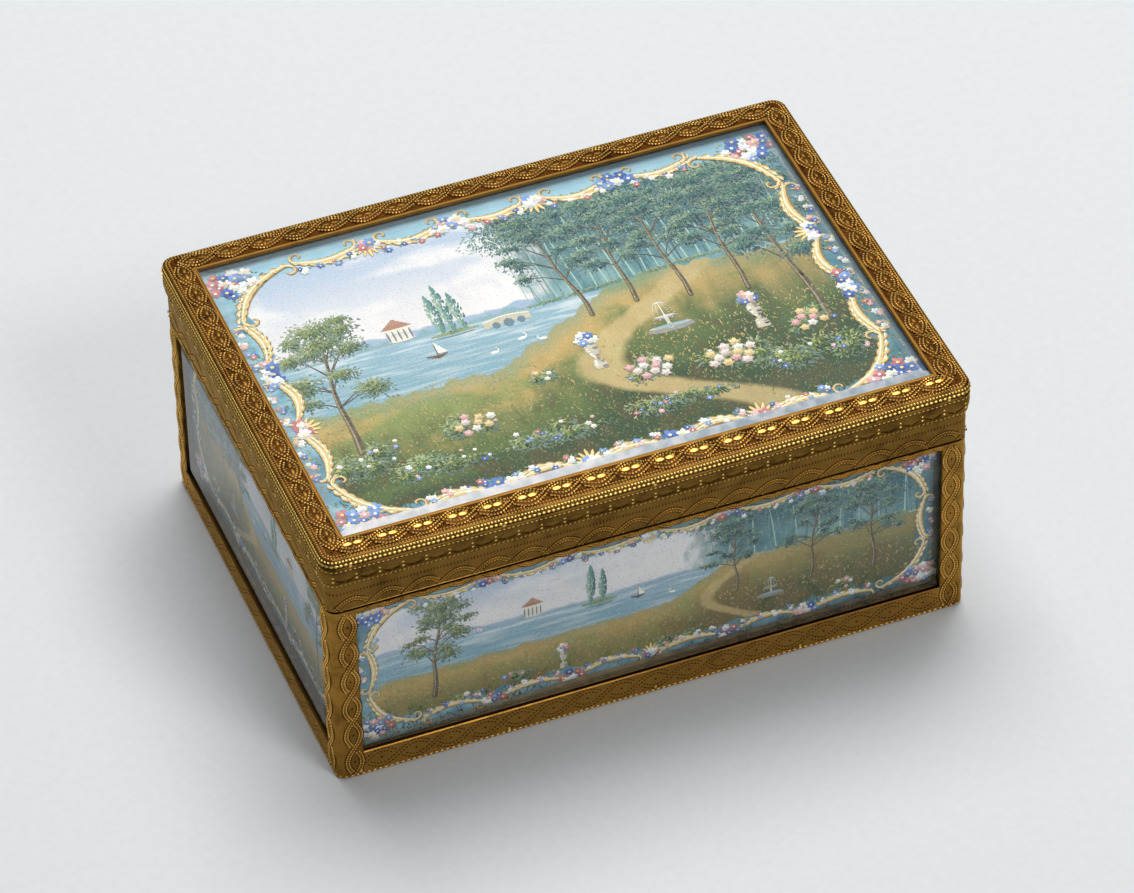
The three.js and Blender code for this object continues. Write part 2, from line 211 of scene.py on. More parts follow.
def as_mesh(name, shape):
    """The mesh of a shape that needs no more work."""
    mesh = bpy.data.meshes.new(name)
    shape.to_mesh(mesh)
    shape.free()
    return mesh


def in_scene(name, data):
    """A new object in the scene, for a mesh, a lamp or a camera."""
    thing = bpy.data.objects.new(name, data)
    bpy.context.scene.collection.objects.link(thing)
    return thing


def finished(name, shape, body, slot, *materials, scale=MM, sharp=0.6):
    """Turns a shape drawn in millimetres into a piece that rides on a body."""
    bmesh.ops.scale(shape, vec=(scale, scale, scale), verts=shape.verts)
    for face in shape.faces:
        face.smooth = True
    for edge in shape.edges:
        edge.smooth = edge.calc_face_angle(0) < sharp
    mesh = as_mesh(name, shape)
    for material in materials:
        mesh.materials.append(material)
    piece = in_scene(name, mesh)
    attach(piece, body)
    return piece


def rubbed(node, name, body, slot, material):
    """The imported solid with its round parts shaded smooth, in the same place."""
    shape = bmesh.new()
    shape.from_mesh(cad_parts[node].data)
    bmesh.ops.remove_doubles(shape, verts=shape.verts, dist=0.002 * MM)
    piece = finished(name, shape, body, slot, material, scale=1.0)
    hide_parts(node)
    return piece


def clad(nodes, material):
    """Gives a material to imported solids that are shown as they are."""
    for node in nodes:
        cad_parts[node].material_slots[0].material = material


rubbed("body_cage", "cage", "body", "cage_gold", cage_gold)

# Chains of ovals on the posts and the rails. The real ones are punched into the gold, dot by
# dot, along two ribbons that cross. Here each dot is a small raised bead on the plain bar.
bead_gold = gold("bead_gold", tone(250, 204, 112), tone(196, 142, 62), 0.46, 0.32, 0.002)


def half_side(turns):
    """Half the length of a wall, counted in quarter turns from the front."""
    return HALF_DEPTH if turns % 2 else HALF_LENGTH


def quarter(turns):
    """Takes what is drawn at the front to another side of the box."""
    return Matrix.Rotation(turns * math.pi / 2, 4, "Z")


def wall(turns):
    """Takes a drawing, with x along the wall, y up and z outwards, to its wall."""
    stand = Matrix.Translation((0, -half_side(turns + 1), 0)) @ Matrix.Rotation(math.pi / 2, 4, "X")
    return quarter(turns) @ stand


def dot(length, width, height, subdivisions=1):
    """A low bead, as a mesh of its own that copies are taken from."""
    shape = bmesh.new()
    bmesh.ops.create_icosphere(shape, subdivisions=subdivisions, radius=1.0)
    bmesh.ops.scale(shape, vec=(length / 2, width / 2, height), verts=shape.verts)
    return as_mesh("dot", shape)


def strewn(parts):
    """One shape that holds a copy of each mesh at each of its places."""
    whole = bmesh.new()
    for mesh, places in parts:
        rest = [c for vertex in mesh.vertices for c in vertex.co]
        for place in places:
            mesh.transform(place)
            whole.from_mesh(mesh)
            mesh.vertices.foreach_set("co", rest)
    return whole


def gold_work(name, body, material, *parts):
    """Ornament of the cage: each part is a small mesh and the places of its copies."""
    finished(name, strewn(parts), body, "cage_gold", material)


def chain(ovals, oval, reach, spread, step):
    """Beads along the two crossing ribbons of a chain: how far along, how far across, the turn.

    A ribbon swings out by the reach. Its beads lie in two rows, each a spread from its middle,
    and one step apart. Where the ribbons cross, only the upper one has beads.
    """
    beads = []
    total = ovals * oval
    fine = 0.02
    for side in (-1, 1):
        for edge in (-spread, spread):
            gone = step
            last = None
            for i in range(int(total / fine) + 1):
                t = i * fine
                slope = side * reach * math.pi / oval * math.cos(math.pi * t / oval)
                turn = math.atan(slope)
                x = t - math.sin(turn) * edge
                y = side * reach * math.sin(math.pi * t / oval) + math.cos(turn) * edge
                if last:
                    gone += math.hypot(x - last[0], y - last[1])
                last = (x, y)
                crossing = abs(t - round(t / oval) * oval)
                if gone >= step:
                    gone = 0.0
                    if slope > 0 or crossing > spread * 2.2:
                        beads.append((x - total / 2, y, turn))
    return beads


def flat(x, y, turn=0.0, z=0.0):
    return Matrix.Translation((x, y, z)) @ Matrix.Rotation(turn, 4, "Z")


OVAL = 4.4
RAIL_MIDDLE = 2.15
small_bead = dot(0.31, 0.2, 0.1)
punch_mark = dot(0.34, 0.22, 0.02)
eye = dot(0.4, 0.3, 0.015)
groove = dot(0.42, 0.16, 0.02)
post_chain = chain(6, OVAL, 0.92, 0.2, 0.37)
post_edges = chain(6, OVAL, 0.92, 0.36, 0.32)
sunk_gold = gold("sunk_gold", tone(78, 46, 18), tone(40, 23, 9), 0.4, 0.46, 0.01)
beads, grooves, marks, eyes = [], [], [], []
for turns in range(4):
    half = half_side(turns)
    for side in (-1, 1):
        middle = side * (half - 0.5 - POST / 2)
        for chained, places in ((post_chain, beads), (post_edges, grooves)):
            places += [
                wall(turns) @ flat(middle + across, BODY_TOP / 2 + along, math.pi / 2 - turn)
                for along, across, turn in chained
                if abs(along) < BODY_TOP / 2 - 0.3
            ]
        eyes += [wall(turns) @ flat(middle, BODY_TOP / 2 + (i - 2.5) * OVAL, math.pi / 2) for i in range(6)]
    ovals = round(2 * (half - POST) / OVAL)
    oval = 2 * (half - POST) / ovals
    marks += [
        wall(turns) @ flat(along, RAIL_MIDDLE + across, turn)
        for along, across, turn in chain(ovals, oval, 1.16, 0.25, 0.45)
    ]
    eyes += [wall(turns) @ flat((i + 0.5) * oval - half + POST, RAIL_MIDDLE) for i in range(ovals)]
gold_work("post_beads", "body", bead_gold, (small_bead, beads))
gold_work("engraving", "body", sunk_gold, (groove, grooves), (punch_mark, marks), (eye, eyes))

# Milled edges. A toothed wheel has been run along the foot of the cage, and along the lid's
# mouldings further on, so that each has a row of short bright dashes all round the box.


def round_the_box(out, height, step, turn=0.0, lean=0.0):
    """Places all round the box, at a distance outside its walls and at a height."""
    radius = CORNER_RADIUS + out
    places = []
    for turns in range(4):
        half, face = half_side(turns) - CORNER_RADIUS, half_side(turns + 1) - CORNER_RADIUS
        spin = quarter(turns)
        count = round(2 * half / step)
        for i in range(count):
            x = (i + 0.5) * 2 * half / count - half
            places.append(spin @ Matrix.Translation((x, -face - radius, height)))
        count = max(round(radius * math.pi / 2 / step), 1)
        for i in range(count):
            angle = (i + 0.5) / count * math.pi / 2
            swing = Matrix.Translation((half, -face, height)) @ Matrix.Rotation(angle, 4, "Z")
            places.append(spin @ swing @ Matrix.Translation((0, -radius, 0)))
    face_out = Matrix.Rotation(math.pi / 2 + lean, 4, "X") @ Matrix.Rotation(turn, 4, "Z")
    return [place @ face_out for place in places]


foot_dash = dot(0.5, 0.3, 0.08)
gold_work("foot_edge", "body", bead_gold, (foot_dash, round_the_box(-0.03, 0.42, 0.72, lean=-0.6)))

# Frame under the base panel and the small pins that hold it. The frame is let into the cage
# from below, and the pins go through the rail into it, five along the front and five behind.


def pins(kind):
    """The names of the ten pins of a frame."""
    return [f"{kind}_pin_{row}_{i}" for row in ("front", "back") for i in range(1, 6)]


rubbed("base_frame", "base_rails", "body", "cage_gold", plain_gold)
clad(pins("base"), bead_gold)

# Paintings in the walls and the base. They are gouache on vellum over a backing card: a lake
# and woods in a margin of scrolls and flowers, a design of its own, laid on in small dabs.
card_finish = Finish("backing_card")
fibres = card_finish.grain(card_finish.place(), 0.4, detail=4.0)
backing_card = card_finish.coated({
    "Base Color": card_finish.mix(fibres, tone(206, 196, 168), tone(228, 219, 196)),
    "Roughness": 0.9,
    "Normal": card_finish.bump(fibres, 0.02),
})


def ground_colours(name, across, up, centre, half_width, half_height, horizon, woods, day, dry, painted_top_light):
    """The broad washes of one painting: sky, far hills, woods, lake, near bank and margin.

    The woods have a side, 1 for the right, and the place of their edge. The day picks the clouds
    and all other chance of the washes, a dry bank is ochre, and a painted top light lightens the top of the
    margin, painted light where the frame's shadow falls.
    """
    finish = Finish(name)
    place = finish.place()
    xyz = finish.along(place)
    u = (xyz[across[0]] - centre[0]) * across[1]
    v = (xyz[up] - centre[1]) if up is not None else (xyz[1] * -1)
    cloud = finish.grain(finish.vector(u * 0.4, v, day), 5.0, detail=5.0)
    mist = finish.grain(finish.vector(u, v * 0.5, day + 9), 2.2, detail=3.0)
    stipple = finish.grain(finish.vector(u, v, day + 5), 0.3, detail=1.0)
    ridge = finish.grain(finish.vector(u, 0.0, day + 2), 9.0, detail=3.0)
    low = finish.grain(finish.vector(u, 0.0, day + 4), 3.0, detail=3.0)

    height = (v - horizon) / (half_height - horizon)
    sky = finish.layers(
        tone(236, 230, 232),
        (height.rising(0.1, 0.9), tone(182, 198, 222)),
        (cloud.rising(0.42, 0.62) * 0.85, tone(244, 238, 238)),
        (mist.rising(0.5, 0.75) * 0.35, tone(206, 204, 224)),
    )
    far = horizon + ridge * half_height * 0.3 - half_height * 0.08
    near = horizon + low * half_height * 0.18 - half_height * 0.05
    trees = ((u * woods[0] - woods[1]) * 0.1 + mist * 1.4 - 0.5 - height * 0.1).rising(0, 0.6)
    leafy = finish.layers(
        tone(80, 130, 142),
        (mist.rising(0.3, 0.7), tone(142, 178, 180)),
        (height.rising(0.05, 0.7) * 0.85, tone(44, 92, 106)),
    )
    ripple = finish.grain(finish.vector(u * 0.16, v * 1.6, day), 1.0, detail=3.0)
    lake = finish.layers(
        tone(152, 184, 202),
        (ripple.rising(0.42, 0.7), tone(216, 224, 230)),
        ((horizon - v).rising(0, half_height * 0.25) * 0.4, tone(116, 160, 176)),
    )
    slope = (u * woods[0] - woods[1] + half_height * 0.3).most(0.0) * 0.55
    bank = horizon - half_height * 0.42 + low * half_height * 0.16 + slope.least(half_height * 0.36)
    depth = (bank - v) / (half_height * 0.6)
    soil = (mist + cloud * 0.8 + depth * 0.2).rising(1.05, 1.25)
    bend = (v * (5.0 / half_height)).sine() * half_height * 0.35
    winding = abs(u - (bend + half_width * 0.3) * woods[0])
    track = 1 - (winding + mist * 1.6 - 0.4 - half_height * 0.09).rising(0.0, half_height * 0.07)
    # Painted shade: the wooded side of the picture is darker, in the grass and also in the blue margin.
    shade = (u * (woods[0] / half_width)).rising(0.1, 1.0)
    grass = finish.layers(
        tone(202, 170, 106),
        (cloud.rising(0.42, 0.6), tone(146, 154, 92)),
        (depth.rising(0.25, 0.0) * 0.7, tone(138, 160, 134)),
        ((depth + mist * 0.8 - 0.4).rising(0.1, 0.8), tone(94, 112, 62)),
        ((depth + cloud * 1.4 - 0.7).rising(0.7, 1.2), tone(54, 76, 48)),
        ((mist * 0.7 + cloud * 0.3).rising(0.25, 0.75) * dry, tone(198, 162, 98)),
        (soil * depth.rising(0.2, 0.6) * 0.5, tone(104, 84, 52)),
        (track * 0.85, finish.mix(mist, tone(226, 202, 146), tone(188, 160, 108))),
        (shade * 0.35, tone(62, 88, 74)),
    )
    wave = finish.grain(finish.vector(u, v, day + 7), 2.0, detail=2.0)
    inset = (half_width - abs(u)).least(half_height - abs(v))
    margin = 1 - (inset + wave * 3.0 - 3.1 - half_height * 0.06).rising(0, 0.5)
    blue = finish.layers(
        tone(110, 160, 184),
        (wave.rising(0.35, 0.65), tone(156, 194, 208)),
        (cloud.rising(0.45, 0.65) * 0.6, tone(80, 130, 152)),
        (shade * 0.6, tone(56, 102, 112)),
        # painted light: the top of the margin lighter where the frame's shadow falls
        ((v / half_height).rising(0.55, 0.95) * painted_top_light, tone(176, 212, 230)),
    )
    colours = finish.layers(
        sky,
        ((far - v).rising(0, 0.5), tone(168, 186, 212)),
        ((near - v).rising(0, 0.7) * 0.9, tone(142, 176, 182)),
        (trees * v.rising(horizon - 1.5, horizon + 0.5), leafy),
        ((horizon - v).rising(-0.25, 0.25), lake),
        ((bank - v).rising(0, 0.4), grass),
        (stipple.rising(0.55, 0.75) * 0.22, tone(70, 92, 84)),
        ((1 - stipple).rising(0.6, 0.75) * 0.22, tone(250, 244, 226)),
        (margin, blue),
    )
    return finish.coated({
        "Base Color": colours,
        "Roughness": 0.72,
        "Normal": finish.bump(stipple, 0.004),
    })


paint_finish = Finish("gouache_dabs")
paint_colour = paint_finish.node("ShaderNodeAttribute", {"attribute_name": "paint"})
paint_grain = paint_finish.grain(paint_finish.place(), 0.2)
chalky_paint = paint_finish.mix(0.35, paint_colour, tone(250, 246, 236))
gouache = paint_finish.coated({
    "Base Color": paint_finish.mix(paint_grain.rising(0.45, 0.7) * 0.25, paint_colour, chalky_paint),
    "Roughness": 0.65,
})


def away(x, y, angle, reach):
    """The point in a direction from another, at a distance."""
    return x + math.cos(angle) * reach, y + math.sin(angle) * reach


def between(start, end, share):
    """The point at a share of the way from one point to another."""
    return start[0] + (end[0] - start[0]) * share, start[1] + (end[1] - start[1]) * share


daub = bmesh.new()
bmesh.ops.create_circle(daub, cap_ends=True, segments=7, radius=0.5)
one_daub = as_mesh("daub", daub)
MOST_DABS = 36000


class Picture:
    """The dabs of one painting. A drawing has x to the right and y up, in millimetres.

    Each coat lies a little above the one before it. The hand is 1 where the woods are on the
    right and -1 where they are on the left.
    """

    def __init__(self, place, half_width, half_height, seed, hand=1):
        self.place = place
        self.hand = hand
        self.half_width = half_width
        self.half_height = half_height
        self.chance = random.Random(seed)
        self.places = []
        self.colours = []
        self.coat = 0
        self.blooms = (
            tone(66, 94, 172), tone(122, 152, 208), tone(236, 238, 244), tone(222, 172, 178),
            tone(84, 116, 184), tone(242, 226, 222), tone(190, 112, 118), tone(234, 236, 242),
        )

    def dab(self, x, y, length, width, turn, colour, vary=0.06):
        if abs(x) > self.half_width + 0.4 or abs(y) > self.half_height + 0.4:
            return
        lift = 0.012 + self.coat * 0.0015 + self.chance.random() * 0.0014
        stretch = Matrix.Diagonal((length, width, 1.0, 1.0))
        self.places.append(self.place @ flat(x, y, turn, lift) @ stretch)
        shade = 1 + self.chance.uniform(-vary, vary) * 2
        self.colours.append([min(c * shade, 1.0) for c in colour[:3]] + [1.0])

    def stroke(self, points, widths, colour, vary=0.04):
        """A line of the brush through points, with its width at its start, middle and end."""
        lengths = [math.dist(a, b) for a, b in zip(points, points[1:])]
        total = sum(lengths)
        gone = 0.0
        for a, b, length in zip(points, points[1:], lengths):
            turn = math.atan2(b[1] - a[1], b[0] - a[0])
            steps = max(int(length / 0.2), 1)
            for i in range(steps):
                share = i / steps
                t = (gone + length * share) / total * 2
                first, second, local = (*widths[:2], t) if t < 1 else (*widths[1:], t - 1)
                width = first + (second - first) * local
                self.dab(*between(a, b, share), max(width * 1.1, 0.36), width, turn, colour, vary)
            gone += length

    def leaves(self, x, y, across, high, colours, count, size=0.36):
        """Feathered leaves, dense in the middle of their cloud and lighter at its top left."""
        for i in range(count):
            dx, dy = (max(min(self.chance.gauss(0, 0.5), 1.2), -1.2) for _ in range(2))
            light = 0.5 + 0.34 * dy - 0.16 * dx + self.chance.uniform(-0.32, 0.32)
            colour = colours[min(max(int(light * len(colours)), 0), len(colours) - 1)]
            if math.hypot(dx, dy) > 0.7:
                colour = [a * 0.62 + b * 0.38 for a, b in zip(colour, tone(150, 176, 166))]
            turn = math.atan2(dy - 0.5, dx) + self.chance.uniform(-0.6, 0.6)
            long = size * self.chance.uniform(0.8, 1.5)
            self.dab(x + dx * across, y + dy * high, long, long * 0.42, turn, colour)

    def scroll(self, start, end, bow, size):
        """A curl of cream and ochre that swells in the middle and winds up at both ends."""
        (x0, y0), (x1, y1) = start, end
        length = math.dist(start, end)
        ahead = math.atan2(y1 - y0, x1 - x0)
        side = math.copysign(1, bow)
        across = (-math.sin(ahead), math.cos(ahead))
        points = []
        for i in range(17):
            rise = bow * math.sin(math.pi * i / 16)
            x, y = x0 + (x1 - x0) * i / 16, y0 + (y1 - y0) * i / 16
            points.append((x + across[0] * rise, y + across[1] * rise))
        slope = math.atan(bow * math.pi / length)
        for at_end in (True, False):
            x, y = points[-1] if at_end else points[0]
            heading = ahead - slope if at_end else ahead + math.pi + slope
            hand = -side if at_end else side
            centre = away(x, y, heading + hand * math.pi / 2, size)
            curl = []
            for i in range(1, 13):
                angle = heading - hand * math.pi / 2 + hand * 0.4 * i
                curl.append(away(*centre, angle, size * (1 - 0.062 * i)))
            points = points + curl if at_end else curl[::-1] + points
        dark, cream, bright = tone(158, 118, 62), tone(226, 200, 142), tone(250, 240, 212)
        low = self.coat
        self.stroke([(x + 0.08, y - 0.12) for x, y in points], (0.24, size * 1.1, 0.24), dark)
        for i in range(9, 34, 2):
            x, y = points[i]
            along = ahead
            if i < len(points) - 1:
                along = math.atan2(points[i + 1][1] - y, points[i + 1][0] - x)
            full = math.sin(math.pi * (i - 7) / 28) * size
            for hand in (side, -0.6 * side):
                for step, colour in ((0, dark), (1, cream), (2, bright)):
                    self.coat = low + 1 + step
                    fan = along + hand * (0.9 - 0.25 * step)
                    reach = full * (0.62 + 0.3 * step) * abs(hand)
                    long, wide = full * (1.5 - 0.35 * step), full * (0.56 - 0.15 * step)
                    self.dab(*away(x, y, fan, reach), long, wide, fan - hand * 0.3, colour)
        self.coat = low + 4
        self.stroke(points, (0.18, size * 0.8, 0.18), cream)
        self.coat = low + 5
        self.stroke([(x - 0.04, y + 0.1) for x, y in points[9:33]], (0.1, size * 0.3, 0.1), bright)
        self.coat = low

    def shell(self, x, y, size, turn):
        """A fan of cream ribs, the middle of a run of scrolls."""
        for width, colour in ((0.34, tone(186, 140, 64)), (0.24, tone(242, 218, 152))):
            for i in range(-3, 4):
                fan = turn + i * 0.42
                long = size * (1.5 - 0.12 * abs(i))
                self.dab(*away(x, y, fan, long * 0.5), long, size * width, fan, colour)
            self.coat += 1
        self.dab(x, y, size * 0.6, size * 0.5, turn, tone(255, 244, 208))
        self.coat -= 2

    def flower(self, x, y, size, colour):
        """Five or six petals round a small pale heart."""
        petals = self.chance.choice((5, 5, 6))
        start = self.chance.uniform(0, 6)
        for i in range(petals):
            angle = start + i * 2 * math.pi / petals
            shade = [min(c * (1.0 + 0.3 * math.sin(angle)), 1.0) for c in colour[:3]]
            self.dab(*away(x, y, angle, size * 0.3), size * 0.56, size * 0.42, angle, shade)
        self.coat += 1
        heart = self.chance.choice((tone(250, 226, 120), tone(255, 250, 238)))
        self.dab(x, y, size * 0.28, size * 0.28, 0, heart)
        self.coat -= 1

    def posy(self, x, y, across, high, count, size):
        """A bunch of small flowers on a bed of leaves."""
        low = self.coat
        greens = (tone(56, 96, 66), tone(98, 138, 84), tone(160, 186, 112))
        self.leaves(x, y, across * 1.1, high * 1.1, greens, count * 9, min(size * 0.6, 0.42))
        for i in range(count):
            angle = i * 2.4
            reach = math.sqrt((i + 0.3) / count)
            self.coat = low + 1 + (i % 4) * 2
            self.flower(x + across * reach * math.cos(angle), y + high * reach * math.sin(angle),
                        size * self.chance.uniform(0.8, 1.2), self.chance.choice(self.blooms))
        self.coat = low

    def tree(self, x, y, height, lean, across, leaf=0.36, thick=1.0, greens=None):
        """A trunk with a lit side, limbs, and leaves in layered clouds."""
        bark, lit = tone(94, 82, 66), tone(158, 142, 108)
        greens = greens or (
            tone(24, 58, 70), tone(38, 80, 88), tone(60, 104, 104), tone(98, 134, 112), tone(150, 166, 122))
        bend = [(x + lean * (i / 8) ** 1.6 + 0.2 * math.sin(i * 1.3), y + height * i / 8) for i in range(9)]
        self.coat += 1
        tips = []
        for i in range(15):
            side = -1 if i % 2 else 1
            px, py = bend[3 + i // 3]
            ex = px + side * across * self.chance.uniform(0.3, 1.0) * (1.15 - i * 0.03)
            ey = py + height * self.chance.uniform(0.05, 0.2)
            limb = [(px, py), ((px + ex) / 2, py + (ey - py) * 0.7), (ex, ey)]
            self.stroke(limb, (0.22 * thick, 0.14, 0.08), bark)
            wide = across * self.chance.uniform(0.22, 0.4)
            tips.append((ex, ey, wide, height * self.chance.uniform(0.03, 0.055)))
        self.stroke(bend, (0.8 * thick, 0.46 * thick, 0.16), bark, 0.12)
        self.coat += 1
        lit_side = [(px - 0.14 * thick, py) for px, py in bend]
        self.stroke(lit_side, (0.24 * thick, 0.16 * thick, 0.08), lit, 0.15)
        self.coat += 1
        tips += [(*bend[-1], across * 0.6, height * 0.08), (*bend[-2], across * 0.6, height * 0.07)]
        for ex, ey, wide, high in tips:
            self.leaves(ex, ey, wide, high, greens, int(30 * wide * high / leaf), leaf)
            few = int(9 * wide * high / leaf)
            self.leaves(ex, ey - high * 0.6, wide * 1.2, high * 1.2, greens[:3], few, leaf)
        self.coat += 2

    def poplar(self, x, y, height, wide):
        """A slim upright tree of a far shore."""
        greens = (tone(70, 116, 118), tone(100, 146, 140), tone(146, 180, 160))
        for i in range(int(height * 26)):
            t = self.chance.random()
            reach = wide * math.sin(math.pi * min(t * 1.02, 1)) ** 0.7
            dx = self.chance.uniform(-1, 1) * reach
            light = int(min(max((0.55 - dx / wide * 0.5) * 3, 0), 2))
            self.dab(x + dx, y + t * height, 0.5, 0.2, math.pi / 2 + dx * -0.4, greens[light])

    def woods(self, x0, x1, foot, top, count):
        """Slender trunks in the mist, paler the further they stand, with leaves above."""
        for i in range(count):
            near = (i + self.chance.random()) / count
            x = x0 + (x1 - x0) * near
            t = max(self.chance.random(), 1 - near * 3)
            colour = [a + (b - a) * t for a, b in zip(tone(66, 104, 112), tone(128, 164, 170))]
            if i % 3 == 0:
                colour = tone(168, 198, 192)
            self.coat = 2 if t < 0.5 else 1
            y = foot(x) + t * 0.8
            lean = self.chance.uniform(-1.2, 1.2)
            trunk = [(x, y), (x + lean * 0.4, (y + top) / 2), (x + lean, top)]
            self.stroke(trunk, (0.3 - 0.15 * t, 0.2, 0.1), colour)
        mist = (tone(34, 78, 92), tone(48, 98, 108), tone(74, 122, 124), tone(116, 154, 142))
        self.coat = 3
        wide = abs(x1 - x0)
        for i in range(int(wide * 2.2)):
            share = self.chance.random()
            x = x0 + (x1 - x0) * (share * 1.05 - 0.05)
            y = top - self.chance.random() ** 1.2 * (top - foot(x)) * (0.3 + 0.35 * share)
            self.leaves(x, y, 2.6, 1.1, mist, 56, 0.34)
        self.coat = 5
        low_growth = (tone(66, 106, 96), tone(92, 126, 96), tone(128, 148, 102), tone(170, 170, 118))
        for i in range(int(wide * 1.6)):
            x = x0 + (x1 - x0) * self.chance.random()
            self.leaves(x, foot(x) + 0.1, 1.3, 0.34, low_growth, 16, 0.3)
        self.coat = 6

    def on_track(self, x, y):
        """Whether a place lies on the path that the washes show."""
        bend = self.half_width * 0.3 + math.sin(y * 5.0 / self.half_height) * self.half_height * 0.35
        return abs(x - self.hand * bend) < self.half_height * 0.14

    def tufts(self, low, high, count):
        """Blades of grass, darker towards the foot of the picture."""
        greens = (
            tone(40, 62, 46), tone(60, 82, 48), tone(98, 114, 60), tone(148, 144, 82), tone(186, 166, 104))
        for i in range(count):
            x = self.chance.uniform(-self.half_width, self.half_width)
            share = self.chance.random() ** 1.4
            y = low + (high - low) * share + math.sin(x * 0.3) * 0.5
            turn = math.pi / 2 + self.chance.uniform(-0.7, 0.7)
            if self.on_track(x, y) and i % 12:
                continue
            pick = min(int((share + self.chance.uniform(0, 0.5)) * 4), 4)
            self.dab(x, y, self.chance.uniform(0.3, 0.7), 0.16, turn, greens[pick])

    def bush(self, x, y, across, high, blooms=1.0):
        """A low mass of dark leaves with lighter ones on top and a few flowers."""
        greens = (
            tone(24, 48, 38), tone(44, 74, 46), tone(78, 104, 54), tone(128, 142, 76), tone(182, 182, 104))
        low = self.coat
        for i in range(int(across * 1.4)):
            dx, dy = self.chance.uniform(-0.8, 0.8) * across, self.chance.uniform(-0.4, 0.5) * high
            self.coat += 1
            self.leaves(x + dx, y + dy, across * 0.34, high * 0.5, greens, int(high * 48), 0.42)
        self.coat += 1
        for i in range(int(across * 1.6 * blooms)):
            dx, dy = self.chance.uniform(-0.9, 0.9) * across, self.chance.uniform(-0.5, 0.8) * high
            self.flower(x + dx, y + dy, self.chance.uniform(0.45, 0.8), self.chance.choice(self.blooms))
        self.coat = low

    def roses(self, x, y, across, high):
        """A shrub covered with large blooms, each of three rings of petals round a warm heart."""
        self.bush(x, y, across, high, 0.3)
        low = self.coat
        count = across * high * 1.1
        for i in range(int(count)):
            angle = i * 2.4
            reach = math.sqrt((i + 0.5) / count) * 0.76
            px, py = x + across * reach * math.cos(angle), y + high * reach * math.sin(angle) + 0.3
            petal = self.chance.choice(((244, 218, 214), (232, 176, 178), (246, 240, 232), (240, 206, 150)))
            for layer, (size, shade) in enumerate(((1.35, 0.84), (1.0, 1.0), (0.6, 0.9))):
                self.coat = low + 8 + layer
                self.flower(px, py, size * high * 0.36, tone(*(c * shade for c in petal)))
        self.coat = low

    def urn(self, x, y, size):
        """A pale stone vase on a block, with flowers standing in it."""
        stone, shade, light = tone(206, 196, 178), tone(140, 134, 128), tone(244, 238, 222)
        outline = (
            # height, width
            (0.0, 0.9), (0.3, 0.9), (0.5, 0.75), (0.6, 0.8), (0.8, 0.3), (1.0, 0.35),
            (1.2, 0.7), (1.6, 0.95), (1.9, 0.9), (2.1, 0.6), (2.25, 0.85),
        )
        self.coat += 1
        for (low, wide), (high, other) in zip(outline, outline[1:]):
            for i in range(3):
                share = i / 3
                level, reach = low + (high - low) * share, (wide + (other - wide) * share) * size
                self.dab(x, y + level * size, reach, 0.2 * size, 0, stone, 0.03)
                self.dab(x + reach * 0.26, y + level * size, reach * 0.4, 0.2 * size, 0, shade, 0.03)
                self.dab(x - reach * 0.24, y + level * size, reach * 0.24, 0.16 * size, 0, light, 0.03)
        self.coat += 1
        self.posy(x, y + 2.7 * size, 0.55 * size, 0.4 * size, 8, 0.6 * size)

    def fountain(self, x, y, size):
        """A round basin with a bowl on a stem and thin jets of water."""
        stone, shade, water = tone(216, 208, 194), tone(150, 148, 146), tone(240, 248, 252)
        self.coat += 1
        for high, wide, thick in ((0.1, 3.6, 0.7), (0.28, 3.4, 0.5), (1.3, 1.7, 0.4)):
            self.dab(x, y + high * size, wide * size, thick * size, 0, shade, 0.02)
            self.dab(x - 0.05, y + (high + 0.12) * size,
                     wide * size * 0.95, thick * size * 0.6, 0, stone, 0.02)
        stem = [(x, y + 0.3 * size), (x, y + 1.3 * size)]
        self.stroke(stem, (0.4 * size, 0.26 * size, 0.34 * size), stone)
        self.coat += 1
        self.dab(x, y + 0.42 * size, 2.7 * size, 0.3 * size, 0, tone(150, 186, 200), 0.02)
        jet = [(x, y + 1.4 * size), (x, y + 3.0 * size)]
        self.stroke(jet, (0.1 * size, 0.08 * size, 0.05 * size), water, 0.02)
        for fall in (0.45, 0.9):
            for side in (-1, 1):
                for i in range(14):
                    t = i / 13
                    level = 2.8 + 1.0 * t - (2.5 + 0.4 * fall) * t * t
                    self.dab(x + side * fall * t * size, y + level * size,
                             0.12 * size, 0.05 * size, -side * 1.2 * t + 0.6, water, 0.02)

    def bridge(self, x, y, span):
        """A stone bridge of three arches."""
        stone, shade, edge = tone(208, 198, 178), tone(104, 130, 146), tone(246, 238, 220)
        deck = [(x + span * (i / 12 - 0.5), y + 1.2 + 0.5 * math.sin(math.pi * i / 12)) for i in range(13)]
        self.coat += 1
        for drop in (1.2, 0.9, 0.6, 0.3):
            self.stroke([(px, py - drop) for px, py in deck], (0.36, 0.4, 0.36), stone)
        self.coat += 1
        for i, size in ((-1, 0.85), (0, 1.1), (1, 0.85)):
            self.dab(x + i * span * 0.27, y + 0.2, 1.25 * size, 1.5 * size, 0, shade, 0.02)
        self.stroke([(px, py - 0.1) for px, py in deck], (0.2, 0.22, 0.2), edge)

    def island(self, x, y, wide):
        """A low bank in the lake with its reflection."""
        bank = [(x - wide, y), (x, y + 0.1), (x + wide, y)]
        self.stroke(bank, (0.3, 0.9, 0.3), tone(150, 164, 122))
        self.coat += 1
        greens = (tone(86, 118, 92), tone(120, 146, 104), tone(164, 176, 124))
        self.leaves(x, y + 0.2, wide * 0.5, 0.3, greens, 60, 0.3)
        reflection = [(x - wide * 0.8, y - 0.5), (x, y - 0.6), (x + wide * 0.8, y - 0.5)]
        self.stroke(reflection, (0.14, 0.3, 0.14), tone(104, 144, 150))

